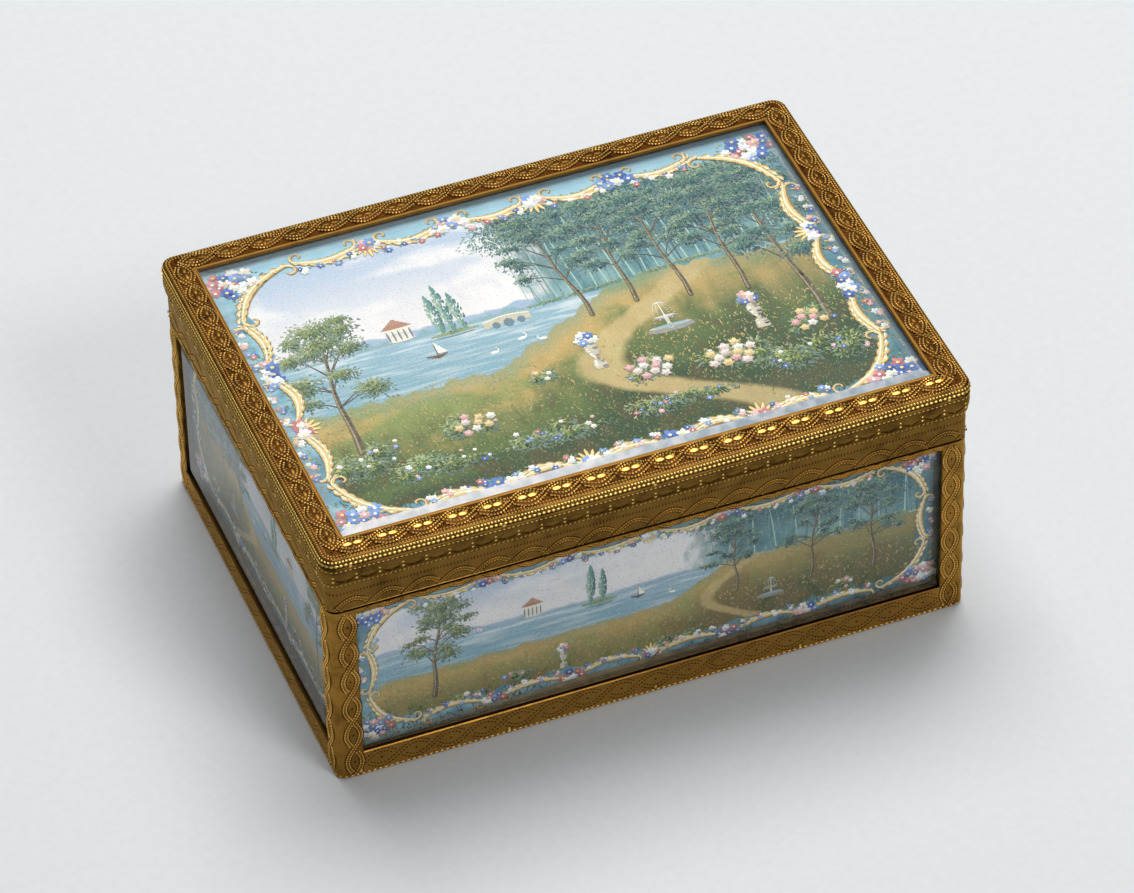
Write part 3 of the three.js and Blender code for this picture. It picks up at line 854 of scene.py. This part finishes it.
    def boat(self, x, y, size):
        """A hull, a mast and one sail."""
        self.coat += 1
        hull = [(x - size, y + 0.12 * size), (x, y - 0.12 * size), (x + size, y + 0.16 * size)]
        self.stroke(hull, (0.2, 0.5 * size, 0.15), tone(112, 78, 56))
        self.stroke([(x, y), (x + 0.1 * size, y + 2.0 * size)], (0.14, 0.1, 0.08), tone(96, 76, 60))
        self.coat += 1
        for i in range(9):
            t = i / 8
            self.dab(x + 0.14 * size + 0.42 * size * (1 - t), y + size * (0.45 + 1.4 * t),
                     0.95 * size * (1 - t) + 0.1, 0.3 * size, 0, tone(250, 244, 230))

    def swan(self, x, y, size, hand=1):
        """A white bird with a bent neck, swimming to the right or, with hand -1, to the left."""
        white = tone(255, 252, 248)
        self.coat += 1
        self.dab(x, y, size * 1.5, size * 0.7, 0.1 * hand, white, 0.01)
        neck = [(x + hand * size * 0.6, y), (x + hand * size * 0.9, y + size * 0.6),
                (x + hand * size * 0.65, y + size * 1.05), (x + hand * size * 0.95, y + size * 1.1)]
        self.stroke(neck, (0.24 * size, 0.2 * size, 0.2 * size), white, 0.01)
        bill = tone(220, 120, 60)
        self.dab(x + hand * size * 1.15, y + size * 1.02, size * 0.3, size * 0.14, -0.3 * hand, bill)

    def pavilion(self, x, y, size):
        """A small open temple: dark gaps between pale columns, under a low roof."""
        wall_tone, roof, dark = tone(236, 226, 212), tone(178, 132, 110), tone(120, 128, 150)
        self.coat += 1
        for i in range(5):
            self.dab(x, y + size * (0.15 + i * 0.2), size * 1.5, size * 0.34, 0, wall_tone, 0.03)
        self.coat += 1
        for i in range(-2, 3):
            self.dab(x + i * size * 0.3, y + size * 0.5, size * 0.9, size * 0.12, math.pi / 2, dark)
        for i in range(5):
            self.dab(x, y + size * (1.15 + i * 0.13), size * (1.75 - i * 0.36), size * 0.22, 0, roof)

    def village(self, x, y, across, count):
        """A pale far town on the shore: low walls, roofs and one tower."""
        for i in range(count):
            at = x + across * (i / count - 0.5) + self.chance.uniform(-0.2, 0.2)
            high = 1.9 if i == count // 3 else self.chance.uniform(0.4, 0.9)
            self.dab(at, y + high / 2, high, 0.4, math.pi / 2, tone(214, 210, 216))
            self.dab(at, y + high, 0.5, 0.16, 0, tone(176, 160, 172))

    def side(self, start, end, bays, inward, size):
        """A run of scrolls along one side of the margin, with a posy between each two."""
        (x0, y0), (x1, y1) = start, end
        turned = abs(x1 - x0) < abs(y1 - y0)
        for i in range(bays):
            a, b = (i + 0.16) / bays, (i + 0.84) / bays
            bow = inward * size * (0.8 if i % 2 else 0.6)
            low = self.coat
            self.scroll(between(start, end, a), between(start, end, b), bow, size * 0.78)
            self.coat = low + 4
            x, y = x0 + (x1 - x0) * i / bays, y0 + (y1 - y0) * i / bays
            across, high = (0.75, 1.8) if turned else (1.8, 0.75)
            if i and (i * 2 == bays or (bays % 2 and i % 2)):
                self.shell(x, y, size * 1.2, math.atan2(-y, -x if turned else 0))
                across, high = across * 0.5, high * 0.5
            if i:
                self.posy(x, y, across * size, high * size, 8, 1.05 * size)
            self.coat = low + 1
            for j in range(4):
                x, y = between(start, end, (i + 0.2 + 0.2 * j) / bays)
                out = size * (0.8 if j % 2 else 1.1) * inward * (1 if turned else -1)
                if turned:
                    x += out * math.copysign(1, y1 - y0)
                else:
                    y += out * math.copysign(1, x0 - x1)
                self.posy(x, y, 0.5 * size, 0.4 * size, 3, 0.6 * size)
            self.coat = low

    def margin(self, size, long_bays, short_bays):
        """Scrolls and posies round the edge, with the largest bunches in the corners."""
        self.coat = 34
        w, h = self.half_width - 1.7 * size, self.half_height - 1.6 * size
        reach = 5.6 * size
        self.side((reach - w, h), (w - reach, h), long_bays, -1, size)
        self.side((w - reach, -h), (reach - w, -h), long_bays, -1, size)
        if short_bays:
            self.side((w, h - reach), (w, reach - h), short_bays, -1, size)
            self.side((-w, reach - h), (-w, h - reach), short_bays, -1, size)
        for sx, sy in ((-1, -1), (-1, 1), (1, -1), (1, 1)):
            self.coat = 38
            start, end = (sx * (w - reach), sy * h), (sx * w, sy * (h - min(reach, h * 0.9)))
            self.scroll(start, end, 1.1 * size * sx * sy, size * 0.85)
            self.coat = 42
            corner = (sx * (w - 0.6 * size), sy * (h - 0.5 * size))
            self.posy(*corner, 2.3 * size, 1.8 * size, 18, 1.04 * size)

    def hang(self, name, body):
        """The dabs as one piece, or as several where they are many, with the colour of each."""
        corners = len(one_daub.vertices)
        for start in range(0, len(self.places), MOST_DABS):
            places = self.places[start:start + MOST_DABS]
            colours = self.colours[start:start + MOST_DABS]
            coat = f"{name}_{start // MOST_DABS + 1}" if start else name
            piece = finished(coat, strewn([(one_daub, places)]), body, "painting", gouache)
            paint = piece.data.attributes.new("paint", "FLOAT_COLOR", "POINT")
            values = [c for colour in colours for _ in range(corners) for c in colour]
            paint.data.foreach_set("color", values)


def pane(name, across, up, centre, half_width, half_height, bevels, pale, dull, painted_fade):
    """Clear glass whose ground bevel is painted with a pale strip round the edge, a painted reflection.

    The bevels have a share of paleness and a width for each side. With a painted fade the strip is
    duller to the right, and weaker to the left by that share, as painted shade and light.
    """
    finish = Finish(name)
    xyz = finish.along(finish.place())
    u = (xyz[across[0]] - centre[0]) * across[1]
    v = (xyz[up] - centre[1]) if up is not None else (xyz[1] * -1)
    strip = finish.node("ShaderNodeValue")
    edges = {
        "right": half_width - u, "left": half_width + u,
        "top": half_height - v, "bottom": half_height + v,
    }
    for side, (share, reach) in bevels.items():
        strip = strip.most((reach - edges[side]).rising(-0.03, 0.03) * share)
    streaks = finish.grain(finish.place(), 1.8).rising(0.35, 0.65)
    # Painted fade: the painted reflection is duller to the right and weaker to the left.
    if painted_fade is not None:
        strip = strip * (1 - (u / half_width).rising(-0.1, -1.0) * painted_fade)
        streaks = streaks * 0.4 + (u / half_width).rising(-0.5, 0.5) * 0.6
    clear = finish.node("ShaderNodeBsdfTransparent", inputs={"Color": (0.97, 0.985, 0.985, 1.0)})
    painted_bevel_reflection = finish.node("ShaderNodeBsdfPrincipled", inputs={
        "Base Color": finish.mix(streaks, pale, dull),
        "Roughness": 0.12,
    })
    body_of_glass = finish.node("ShaderNodeMixShader", inputs={0: strip, 1: clear, 2: painted_bevel_reflection})
    mirror = finish.node("ShaderNodeBsdfAnisotropic", inputs={"Roughness": 0.03})
    outside = 1 - finish.node("ShaderNodeNewGeometry", output="Backfacing")
    shine = finish.node("ShaderNodeFresnel", inputs={"IOR": 1.5}) * outside
    return finish.surface(finish.node("ShaderNodeMixShader", inputs={0: shine, 1: body_of_glass, 2: mirror}))


def panel(name, place, wash, bevels, glass, dry=0.0, painted_top_light=0.0, painted_fade=None):
    """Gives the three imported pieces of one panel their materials: vellum, card and glass.

    The place is what the drawing's x and y are in the box: the axis and sign that x has, the
    axis that y has, the middle of the panel, and half its width and height.
    """
    clad([f"{name}_miniature"], ground_colours(f"{name}_washes", *place, *wash, dry, painted_top_light))
    clad([f"{name}_backing"], backing_card)
    clad([f"{name}_glass"], pane(f"{name}_pane", *place, bevels, *glass, painted_fade))


PICTURE_DEPTH = 1.5
FLAT_WIDTH = HALF_LENGTH - POST
FLAT_HEIGHT = HALF_DEPTH - POST
olive = (tone(52, 76, 58), tone(80, 104, 74), tone(110, 130, 84), tone(148, 156, 98), tone(184, 184, 124))
wall_panels = (
    # name, quarter turns, Object axis across and its sign, top of the window, horizon, woods, day
    ("front", 0, (0, 1), 26.3, 1.5, (1, 6.0), 3.0),
    ("right", 1, (1, 1), 26.3, 1.0, (1, 2.0), 17.0),
    ("back", 2, (0, -1), 23.95, 1.0, (-1, 8.0), 29.0),
    ("left", 3, (1, -1), 26.3, 1.5, (-1, 6.0), 41.0),
)
# The glass's pale strips are painted reflections in the bevels, strongest along the bottom.
wall_bevels = {"left": (0.12, 1.3), "right": (0.2, 1.0), "top": (0.12, 1.3), "bottom": (0.7, 0.95)}
wall_glass = (tone(188, 166, 124), tone(112, 100, 80))
for name, turns, across, top, horizon, woods, day in wall_panels:
    half_width = FLAT_HEIGHT if turns % 2 else FLAT_WIDTH
    half_height = (top - BOTTOM_RAIL) / 2
    middle = (0.0, BOTTOM_RAIL + half_height)
    panel(name, (across, 2, middle, half_width, half_height), (horizon, woods, day),
          wall_bevels, wall_glass, dry=0.7, painted_fade=0.75)
    hand = woods[0]
    edge = hand * woods[1]
    side = hand * half_width
    place = wall(turns) @ Matrix.Translation((0, middle[1], -PICTURE_DEPTH))
    picture = Picture(place, half_width, half_height, int(day), hand)
    picture.woods(edge + hand * 1.5, side * 0.94, lambda x: horizon + 0.1,
                  half_height * 0.88, int(half_width * 0.8))
    picture.pavilion(-side * 0.4, horizon + 0.1, 1.7)
    picture.island(-side * 0.17, horizon - 0.5, 2.2)
    picture.poplar(-side * 0.2, horizon - 0.4, 6.0, 0.55)
    picture.poplar(-side * 0.16, horizon - 0.4, 5.0, 0.5)
    picture.village(-side * 0.62, horizon, 4.0, 9)
    picture.boat(-side * 0.04, horizon - 1.4, 0.8)
    picture.swan(edge - hand * 3.0, horizon - 2.2, 0.5, -1)
    picture.tufts(-half_height, horizon - half_height * 0.4, int(half_width * 32))
    picture.tree(side * 0.78, -half_height * 0.5, half_height * 1.15, -0.8, 3.4, 0.32, 0.8)
    picture.tree(side * 0.56, -half_height * 0.4, half_height * 1.1, 0.9, 3.2, 0.32, 0.7)
    picture.tree(side * 0.3, -half_height * 0.3, half_height * 0.95, -0.5, 3.0, 0.32, 0.6)
    picture.tree(-side * 0.74, -half_height * 0.6, half_height * 1.25, 1.2, 4.0, 0.32, 0.9, olive)
    picture.coat = 14
    picture.fountain(side * 0.42, -half_height * 0.52, 1.0)
    picture.roses(side * 0.68, -half_height * 0.66, 2.6, 1.3)
    picture.roses(-side * 0.46, -half_height * 0.66, 2.2, 1.2)
    picture.urn(-side * 0.3, -half_height * 0.72, 1.2)
    picture.bush(-side * 0.6, -half_height * 0.76, 3.0, 1.0)
    picture.bush(side * 0.1, -half_height * 0.76, 3.0, 1.0)
    picture.margin(0.96, round(half_width / 6.0), 1)
    picture.hang(f"{name}_painting", "body")

BASE_FACE = 0.7
base_place = Matrix.Translation((0, 0, BASE_FACE + PICTURE_DEPTH)) @ Matrix.Rotation(math.pi, 4, "X")
# Its glass has an even painted reflection round the bevel.
panel("base", ((0, 1), None, (0.0, 0.0), FLAT_WIDTH, FLAT_HEIGHT), (4.0, (-1, 6.0), 53.0),
      dict.fromkeys(("left", "right", "top", "bottom"), (0.25, 1.3)),
      (tone(206, 222, 228), tone(168, 190, 200)))
picture = Picture(base_place, FLAT_WIDTH, FLAT_HEIGHT, 53, -1)
picture.boat(4.0, 0.5, 1.4)
picture.poplar(-8.0, 3.0, 10.0, 1.0)
picture.tufts(-FLAT_HEIGHT, -6.0, 1200)
picture.tree(-22.0, -12.0, 26.0, 3.0, 8.0, 0.5, 1.5)
picture.bush(6.0, -17.0, 7.0, 2.2)
picture.roses(18.0, -14.0, 4.0, 2.2)
picture.margin(1.1, 5, 3)
picture.hang("base_painting", "body")

# Inner box of the body and the flat rim over it. Both are polished gold sheet, and the rim
# carries a thin upstand that the lid closes over.
polished_gold = gold("polished_gold", tone(236, 206, 140), tone(224, 192, 124), 0.44, 0.17, 0.001)
rubbed("body_lining", "lining", "body", "lining_gold", polished_gold)
rubbed("body_bezel", "rim", "body", "lining_gold", polished_gold)

# Hinge. The real one is of gold tube, soldered to a strip on the body and to one on the lid.
# Eleven knuckles take turns along a gold pin that lies half in the back of the box.
rubbed("body_hinge_leaf", "body_knuckles", "body", "cage_gold", plain_gold)
rubbed("lid_hinge_leaf", "lid_knuckles", "lid", "cage_gold", plain_gold)
clad(["hinge_pin"], bead_gold)

# Upright band of the lid. It is a plain gold strip with a row of fine punch marks, and under
# them a low chain of ovals that runs on over the seam onto the top rail of the body.
LID_BOTTOM = 27.45
CHAIN_MIDDLE = 27.85
CHAIN_END = 0.9
RUNG_ROW = 30.15
SLANT_ROW = 31.3
worn_gold = gold("worn_gold", tone(122, 90, 41), tone(82, 58, 25), 0.42, 0.3, 0.006)
rubbed("lid_band", "band", "lid", "cage_gold", worn_gold)
band_gold = gold("band_gold", tone(214, 166, 82), tone(160, 114, 50), 0.46, 0.34, 0.002)
lid_parts = {small_bead: [], groove: []}
body_parts = {small_bead: [], groove: []}
for turns in (0, 1, 3):
    half = half_side(turns) - CHAIN_END
    ovals = round(2 * half / OVAL)
    for mesh, spread, step in ((small_bead, 0.2, 0.37), (groove, 0.37, 0.32)):
        for along, across, turn in chain(ovals, 2 * half / ovals, 1.16, spread, step):
            height = CHAIN_MIDDLE + across
            spot = wall(turns) @ flat(along, height, turn)
            if height > LID_BOTTOM + 0.06:
                lid_parts[mesh].append(spot)
            elif height < BODY_TOP - 0.06 and abs(along) < half + CHAIN_END - POST:
                body_parts[mesh].append(spot)
rung = dot(0.2, 0.52, 0.03)
slant = dot(0.42, 0.15, 0.03)
rungs = round_the_box(-0.01, RUNG_ROW, 0.42)
slants = round_the_box(-0.01, SLANT_ROW, 0.56, turn=0.6)
gold_work("band_beads", "lid", band_gold, (small_bead, lid_parts[small_bead]))
gold_work("band_engraving", "lid", sunk_gold, (groove, lid_parts[groove]), (rung, rungs), (slant, slants))
gold_work("rail_top_beads", "body", band_gold, (small_bead, body_parts[small_bead]))
gold_work("rail_top_engraving", "body", sunk_gold, (groove, body_parts[groove]))
# A thin bead of brighter gold along the lid's lower edge, at the left of the front only, is a painted
# highlight that stands in for a glint on the seam.
painted_glint_edge = dot(24.0, 0.12, 0.05, 3)
gold_work("painted_glint_edge", "lid", band_gold, (painted_glint_edge, [wall(0) @ flat(-27.0, LID_BOTTOM + 0.09)]))

# Moulding and border of the lid. The real frame is drawn gold wire and strip of many small
# mouldings, soldered in a ring, and its front swells out a little to be lifted by the thumb.
chased_gold = gold("chased_gold", tone(114, 84, 37), tone(66, 46, 19), 0.42, 0.34, 0.01)
bezel_gold = gold("bezel_gold", tone(132, 98, 46), tone(98, 70, 32), 0.5, 0.42, 0.002)
BAND_TOP = 31.5
LID_FRAME = (
    # distance outside the walls, height
    (-1.2, BAND_TOP), (0.0, BAND_TOP), (0.2, 31.55), (0.24, 31.75), (0.2, 31.98), (0.26, 32.08),
    (0.38, 32.4), (0.45, 32.9), (0.47, 33.5), (0.44, 33.95), (0.4, 34.02), (0.45, 34.1),
    (0.45, 34.32), (0.4, 34.4), (0.28, 34.52), (0.22, 34.66), (0.28, 34.8), (0.42, 34.9),
    (0.46, 35.09), (0.42, 35.28), (0.3, 35.36), (0.34, 35.44), (0.36, 35.54), (0.28, 35.7),
    (0.16, 35.81), (0.0, 35.86), (-0.68, 35.91), (-1.7, 35.94), (-2.72, 35.9), (-2.98, 35.87),
    (-3.16, 35.88), (-3.22, 35.95), (-3.32, 35.95), (-3.38, 35.88), (-3.4, 35.8), (-3.4, 35.55),
    (-1.2, 35.55),
)
THUMB_SWELL = 0.6
THUMB_REACH = 41.6
THUMB_RISE = 1.84


def thumb(x):
    """How far the front of the lid's edge swells outwards."""
    return THUMB_SWELL * max(1 - (x / THUMB_REACH) ** 2, 0)


def swelled(shape):
    """Pushes the front of a shape out along the thumb curve, fully from a height upwards."""
    for vertex in shape.verts:
        x, y, z = vertex.co
        inward = (HALF_DEPTH + y) / POST
        rise = min(max((z - BAND_TOP) / THUMB_RISE, 0), 1)
        if y < 0:
            kept = min(max(1 - inward, 0), 1) * (z > BAND_TOP - 0.05)
            vertex.co.y -= thumb(x) * (0.4 + 0.6 * rise) * kept
    return shape


def ring_of(section, corner_steps=8, side_steps=24):
    """Draws a section along the sides of the box and turns it round the corners."""
    shape = bmesh.new()
    points = [shape.verts.new((0.0, -HALF_DEPTH - out, height)) for out, height in section]
    strip = [shape.edges.new(pair) for pair in zip(points, points[1:] + points[:1])]
    geometry = points + strip
    for turns in range(4):
        forward = quarter(turns) @ Vector((1, 0, 0))
        half, face = half_side(turns) - CORNER_RADIUS, half_side(turns + 1) - CORNER_RADIUS
        leg, steps = (2 * half, 4) if turns else (half, side_steps)
        corner = quarter(turns) @ Vector((half, -face, 0))
        geometry = drawn(shape, geometry, forward, leg, steps)
        geometry = bmesh.ops.spin(shape, geom=geometry, cent=corner, axis=(0, 0, 1), angle=math.pi / 2,
                                  steps=corner_steps, use_merge=False)["geom_last"]
    drawn(shape, geometry, Vector((1, 0, 0)), HALF_LENGTH - CORNER_RADIUS, side_steps)
    bmesh.ops.remove_doubles(shape, verts=shape.verts, dist=0.004)
    bmesh.ops.recalc_face_normals(shape, faces=shape.faces)
    return shape


def drawn(shape, geometry, direction, length, steps):
    """Draws the edges of a section along a straight side, and returns the far end."""
    for _ in range(steps):
        edges = [g for g in geometry if isinstance(g, bmesh.types.BMEdge)]
        new = bmesh.ops.extrude_edge_only(shape, edges=edges)["geom"]
        geometry = [g for g in new if not isinstance(g, bmesh.types.BMFace)]
        points = [g for g in geometry if isinstance(g, bmesh.types.BMVert)]
        bmesh.ops.translate(shape, vec=direction * (length / steps), verts=points)
    return geometry


moulding = ring_of(LID_FRAME)
for face in moulding.faces:
    middle = face.calc_center_median()
    inward = min(HALF_LENGTH - abs(middle.x), HALF_DEPTH - abs(middle.y))
    face.material_index = 2 if inward > 3.05 else 1 if inward > 0.1 and middle.z > 35.8 else 0
moulding = finished("lid_moulding", swelled(moulding), "lid", "cage_gold", chased_gold, sunk_gold, bezel_gold)
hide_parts("lid_frame")

# Ornament of the moulding, from below: a row of slanting dashes, a band of leaves with a pair
# of punched dots between each two, a row of dashes, the bright beaded rim, and a milled edge.
fine_dash = dot(0.42, 0.17, 0.09)
leaf = dot(2.0, 0.9, 0.09, 2)
pip = dot(0.38, 0.34, 0.16)
cleft = dot(1.4, 0.26, 0.05)
rim_bead = dot(0.58, 0.46, 0.15)
edge_bead = dot(0.38, 0.28, 0.12)
spots = round_the_box(0.405, 33.0, 1.45, lean=-0.1)
straight = [place for place in spots[::2]
            if abs(place.translation.x) < HALF_LENGTH - 1.6 or abs(place.translation.y) < HALF_DEPTH - 1.6]
pips = [place @ flat(0, side * 0.3) for place in spots[1::2] for side in (-1, 1)]
clefts = [place @ flat(ahead * 0.62, side * 0.42, -ahead * side * 0.42)
          for place in straight for ahead in (-1, 1) for side in (-1, 1)]
rim_gold = gold("rim_gold", tone(255, 216, 124), tone(232, 180, 88), 0.5, 0.3, 0.002)


def edging(name, material, *parts):
    """Ornament of the lid's frame, which swells out with it at the front."""
    finished(name, swelled(strewn(parts)), "lid", "cage_gold", material)


edging("moulding_leaves", worn_gold, (leaf, straight))
edging("moulding_clefts", sunk_gold, (cleft, clefts), (fine_dash, round_the_box(0.245, 34.66, 0.36)))
edging(
    "moulding_beads", rim_gold,
    (fine_dash, round_the_box(0.22, 31.76, 0.56, turn=0.6)),
    (pip, pips),
    (fine_dash, round_the_box(0.45, 34.2, 0.58)),
    (edge_bead, round_the_box(0.3, 35.58, 0.42, lean=-0.7)),
)
edging("moulding_rim", rim_gold, (rim_bead, round_the_box(0.39, 35.1, 0.6, lean=-0.7)))

# Border on top of the lid. Two beaded ribbons cross in a chain of ovals, each with a two-winged
# spindle in it, fans between them, and two rows of fine beads along the outside. The spindles along
# the front are of a brighter gold than the rest, as painted light: lit at the front, in painted shade
# elsewhere.
CROWN = ((0.0, 35.86), (0.68, 35.91), (1.7, 35.94), (2.72, 35.9), (3.0, 35.87))
BORDER_MIDDLE = 1.62
BORDER_END = 1.75
MOUND_HEIGHT = 0.26
MOUND_REACH = 1.32
ribbon_bead = dot(0.36, 0.3, 0.17)
wing = dot(1.5, 0.84, 0.2, 2)
fan_rib = dot(0.66, 0.19, 0.12)


def crown(inward, lift=0.0):
    """Height of the border's surface."""
    for (a, low), (b, high) in zip(CROWN, CROWN[1:]):
        if inward <= b:
            return low + (high - low) * (inward - a) / (b - a) + lift
    return CROWN[-1][1] + lift


def mound_rise(ahead, across, oval):
    """How far an oval's cushion stands above the border, at a place measured from its middle."""
    return MOUND_HEIGHT * math.sqrt(max(1 - (ahead / (oval / 2)) ** 2 - (across / MOUND_REACH) ** 2, 0))


def on_border(turns, along, inward, turn=0.0, lift=0.0):
    """A place on one side's border, a distance in from the wall and a lift above the surface."""
    return quarter(turns) @ flat(along, inward - half_side(turns + 1), turn, crown(inward, lift))


mound = dot(2.0, 2 * MOUND_REACH, MOUND_HEIGHT, 3)
mounds, ribbons, lit_wings, shaded_wings, pips, ribs = [], [], [], [], [], []
for turns, ovals in ((0, 18), (1, 13), (2, 18), (3, 13)):
    half = half_side(turns) - BORDER_END
    oval = 2 * half / ovals
    for along, across, turn in chain(ovals, oval, 0.98, 0.22, 0.4):
        ahead = (along + half) % oval - oval / 2
        lift = mound_rise(ahead, across, oval)
        ribbons.append(on_border(turns, along, BORDER_MIDDLE + across, turn, lift - 0.02))
    for i in range(ovals):
        middle = (i + 0.5) * oval - half
        mounds.append(on_border(turns, middle, BORDER_MIDDLE) @ Matrix.Diagonal((oval / 2, 1, 1, 1)))
        for side in (-1, 1):
            wing_place = on_border(turns, middle + side * 0.66, BORDER_MIDDLE, 0, MOUND_HEIGHT - 0.14)
            wings = shaded_wings if turns else lit_wings
            wings.append(wing_place @ Matrix.Rotation(0.3, 4, "X") @ Matrix.Rotation(side * 0.06, 4, "Y"))
            pips.append(on_border(turns, middle, BORDER_MIDDLE + side * 0.46, 0, MOUND_HEIGHT - 0.04))
            for j in range(-2, 3):
                angle = side * math.pi / 2 + j * 0.42
                x = middle + oval / 2 + math.cos(angle) * 0.85
                if i < ovals - 1:
                    ribs.append(on_border(turns, x, BORDER_MIDDLE + math.sin(angle) * 0.85, angle))
edging("border_mounds", sunk_gold, (mound, mounds))
edging("border_beads", rim_gold, (ribbon_bead, ribbons))
fine_row = dot(0.32, 0.28, 0.14)
rows = [place @ Matrix.Rotation(-math.pi / 2, 4, "X") for out, height in ((-0.1, 35.86), (-0.46, 35.89))
        for place in round_the_box(out, height, 0.4)]
edging("border_ornament", bead_gold, (dot(0.24, 0.24, 0.12), pips), (fine_row, rows))
edging("border_fans", plain_gold, (fan_rib, ribs))
# Painted light: the front spindles get a bright gold, and those of the other sides the darker chased gold as
# painted shade.
lit_spindle_gold = gold("lit_spindle_gold", tone(246, 196, 96), tone(200, 148, 64), 0.46, 0.3, 0.006)
edging("lit_border_spindles", lit_spindle_gold, (wing, lit_wings))
edging("shaded_border_spindles", chased_gold, (wing, shaded_wings))

# Painting of the lid. Like those in the walls it is gouache on vellum over a card, and the rim
# of the bevelled glass that covers it lies under the frame's inner edge.
LID_FACE = 36.15
# The lid's glass has its painted reflection strongest along the front edge.
panel("lid", ((0, 1), 1, (0.0, 0.0), FLAT_WIDTH, FLAT_HEIGHT), (5.0, (1, -1.0), 7.0),
      {"left": (0.08, 1.3), "right": (0.14, 1.3), "top": (0.12, 1.3), "bottom": (0.9, 1.3)},
      # The lid's margin gets a painted top light against the frame's shadow.
      (tone(238, 240, 244), tone(150, 168, 184)), painted_top_light=0.7, painted_fade=0.0)
picture = Picture(Matrix.Translation((0, 0, LID_FACE - PICTURE_DEPTH)), FLAT_WIDTH, FLAT_HEIGHT, 7)
picture.woods(-2.0, 36.0, lambda x: min(5.2 + x * 0.05, 6.2), 23.0, 66)
picture.pavilion(-18.5, 5.2, 2.4)
picture.island(-12.0, 4.4, 3.0)
for x, height in ((-13.4, 7.5), (-12.0, 9.0), (-10.6, 7.0)):
    picture.poplar(x, 4.6, height, 0.75)
picture.village(-28.5, 5.2, 7.0, 14)
picture.bridge(-5.4, 3.4, 6.0)
picture.boat(-15.5, 1.0, 1.3)
for swan in ((-5.0, 0.2, 0.8, 1), (-2.6, -0.8, 0.7, -1), (-9.0, -1.0, 0.7, 1)):
    picture.swan(*swan)
picture.tufts(-FLAT_HEIGHT, -4.0, 3800)
for trunk in ((4.5, 1.0, 19.5, -2.4), (10.5, 1.5, 19.0, 1.0),
              (17.0, 0.0, 20.0, -1.0), (24.0, -1.5, 22.0, 1.2)):
    picture.tree(*trunk, 5.4, 0.36, 0.9)
picture.coat = 12
picture.fountain(12.5, -5.2, 1.8)
picture.tree(31.0, -10.0, 30.0, -2.0, 7.0, 0.4, 1.3)
picture.tree(-30.0, -12.0, 23.0, 2.2, 5.4, 0.36, 1.3, olive)
picture.coat = 20
picture.urn(2.0, -8.6, 2.1)
picture.urn(23.0, -9.0, 2.1)
for shrub in ((7.5, -11.0, 4.0, 2.6), (17.5, -12.5, 4.4, 2.8), (-16.0, -12.5, 3.6, 2.4),
              (28.5, -10.0, 3.4, 2.4), (-5.0, -7.4, 2.4, 1.5)):
    picture.roses(*shrub)
picture.coat = 20
for shrub in ((-29.5, -14.0, 5.0, 3.4), (-21.0, -17.6, 7.0, 2.6), (-7.0, -17.6, 7.0, 2.2),
              (8.0, -17.8, 7.0, 2.0), (27.0, -16.0, 7.0, 3.0)):
    picture.bush(*shrub)
picture.margin(1.4, 5, 3)
picture.hang("lid_painting", "lid")

# Retainer and tray of the lid. A gold frame under the panel, held by pins through the moulding,
# keeps glass, vellum and card together, and a polished gold tray closes the lid from inside.
rubbed("lid_retainer", "panel_retainer", "lid", "cage_gold", plain_gold)
clad(pins("lid"), bead_gold)
rubbed("lid_lining", "lid_tray", "lid", "lining_gold", polished_gold)

# Floor. It is one sheet of pale matt paper, wide enough to run on behind the box as far as
# the camera sees.
floor_finish = Finish("pale_floor")
floor_grain = floor_finish.grain(floor_finish.place(), 1.2, detail=3.0)
floor_shape = bmesh.new()
bmesh.ops.create_grid(floor_shape, x_segments=1, y_segments=1, size=3.0)
floor_mesh = as_mesh("floor", floor_shape)
floor_mesh.materials.append(floor_finish.coated({
    "Base Color": floor_finish.mix(floor_grain, tone(196, 202, 208), tone(206, 211, 216)),
    "Roughness": 0.85,
}))
floor = in_scene("floor", floor_mesh)

# Light. The room is an even grey, with a large soft lamp above and behind the box and a
# smaller, weaker one at the front right.
world = bpy.data.worlds.new("room")
bpy.context.scene.world = world
world.use_nodes = True
world.node_tree.nodes["Background"].inputs["Color"].default_value = (0.83, 0.86, 0.90, 1.0)
world.node_tree.nodes["Background"].inputs["Strength"].default_value = 0.25


def lamp(name, place, target, width, height, power, colour):
    """A soft rectangular lamp that faces its target."""
    light = bpy.data.lights.new(name, "AREA")
    light.shape = "RECTANGLE"
    light.size, light.size_y = width, height
    light.energy = power
    light.color = colour
    stand = in_scene(name, light)
    stand.location = place
    stand.rotation_euler = (Vector(target) - Vector(place)).to_track_quat("-Z", "Y").to_euler()


lamp("upper_lamp", (0.10, 0.30, 0.78), (0, 0, 0.02), 0.62, 0.5, 7.7, (1.0, 0.97, 0.92))
lamp("front_lamp", (0.26, -0.66, 0.70), (0, 0, 0.02), 0.3, 0.24, 3.1, (1.0, 0.96, 0.9))

# Camera. It stands where the photograph was taken, as found from thirteen corners of the box,
# and looks at it with a long lens from the front left and above.
camera_data = bpy.data.cameras.new("camera")
camera_data.sensor_fit = "HORIZONTAL"
camera_data.sensor_width = 36.0
camera_data.lens = 207.607
camera_data.clip_start = 0.05
camera = in_scene("camera", camera_data)
camera.location = (-0.20864, -0.56582, 0.55048)
camera.rotation_euler = [math.radians(angle) for angle in (48.4145, 1.1776, -21.3159)]
bpy.context.scene.camera = camera
bpy.context.scene.view_settings.view_transform = "Standard"
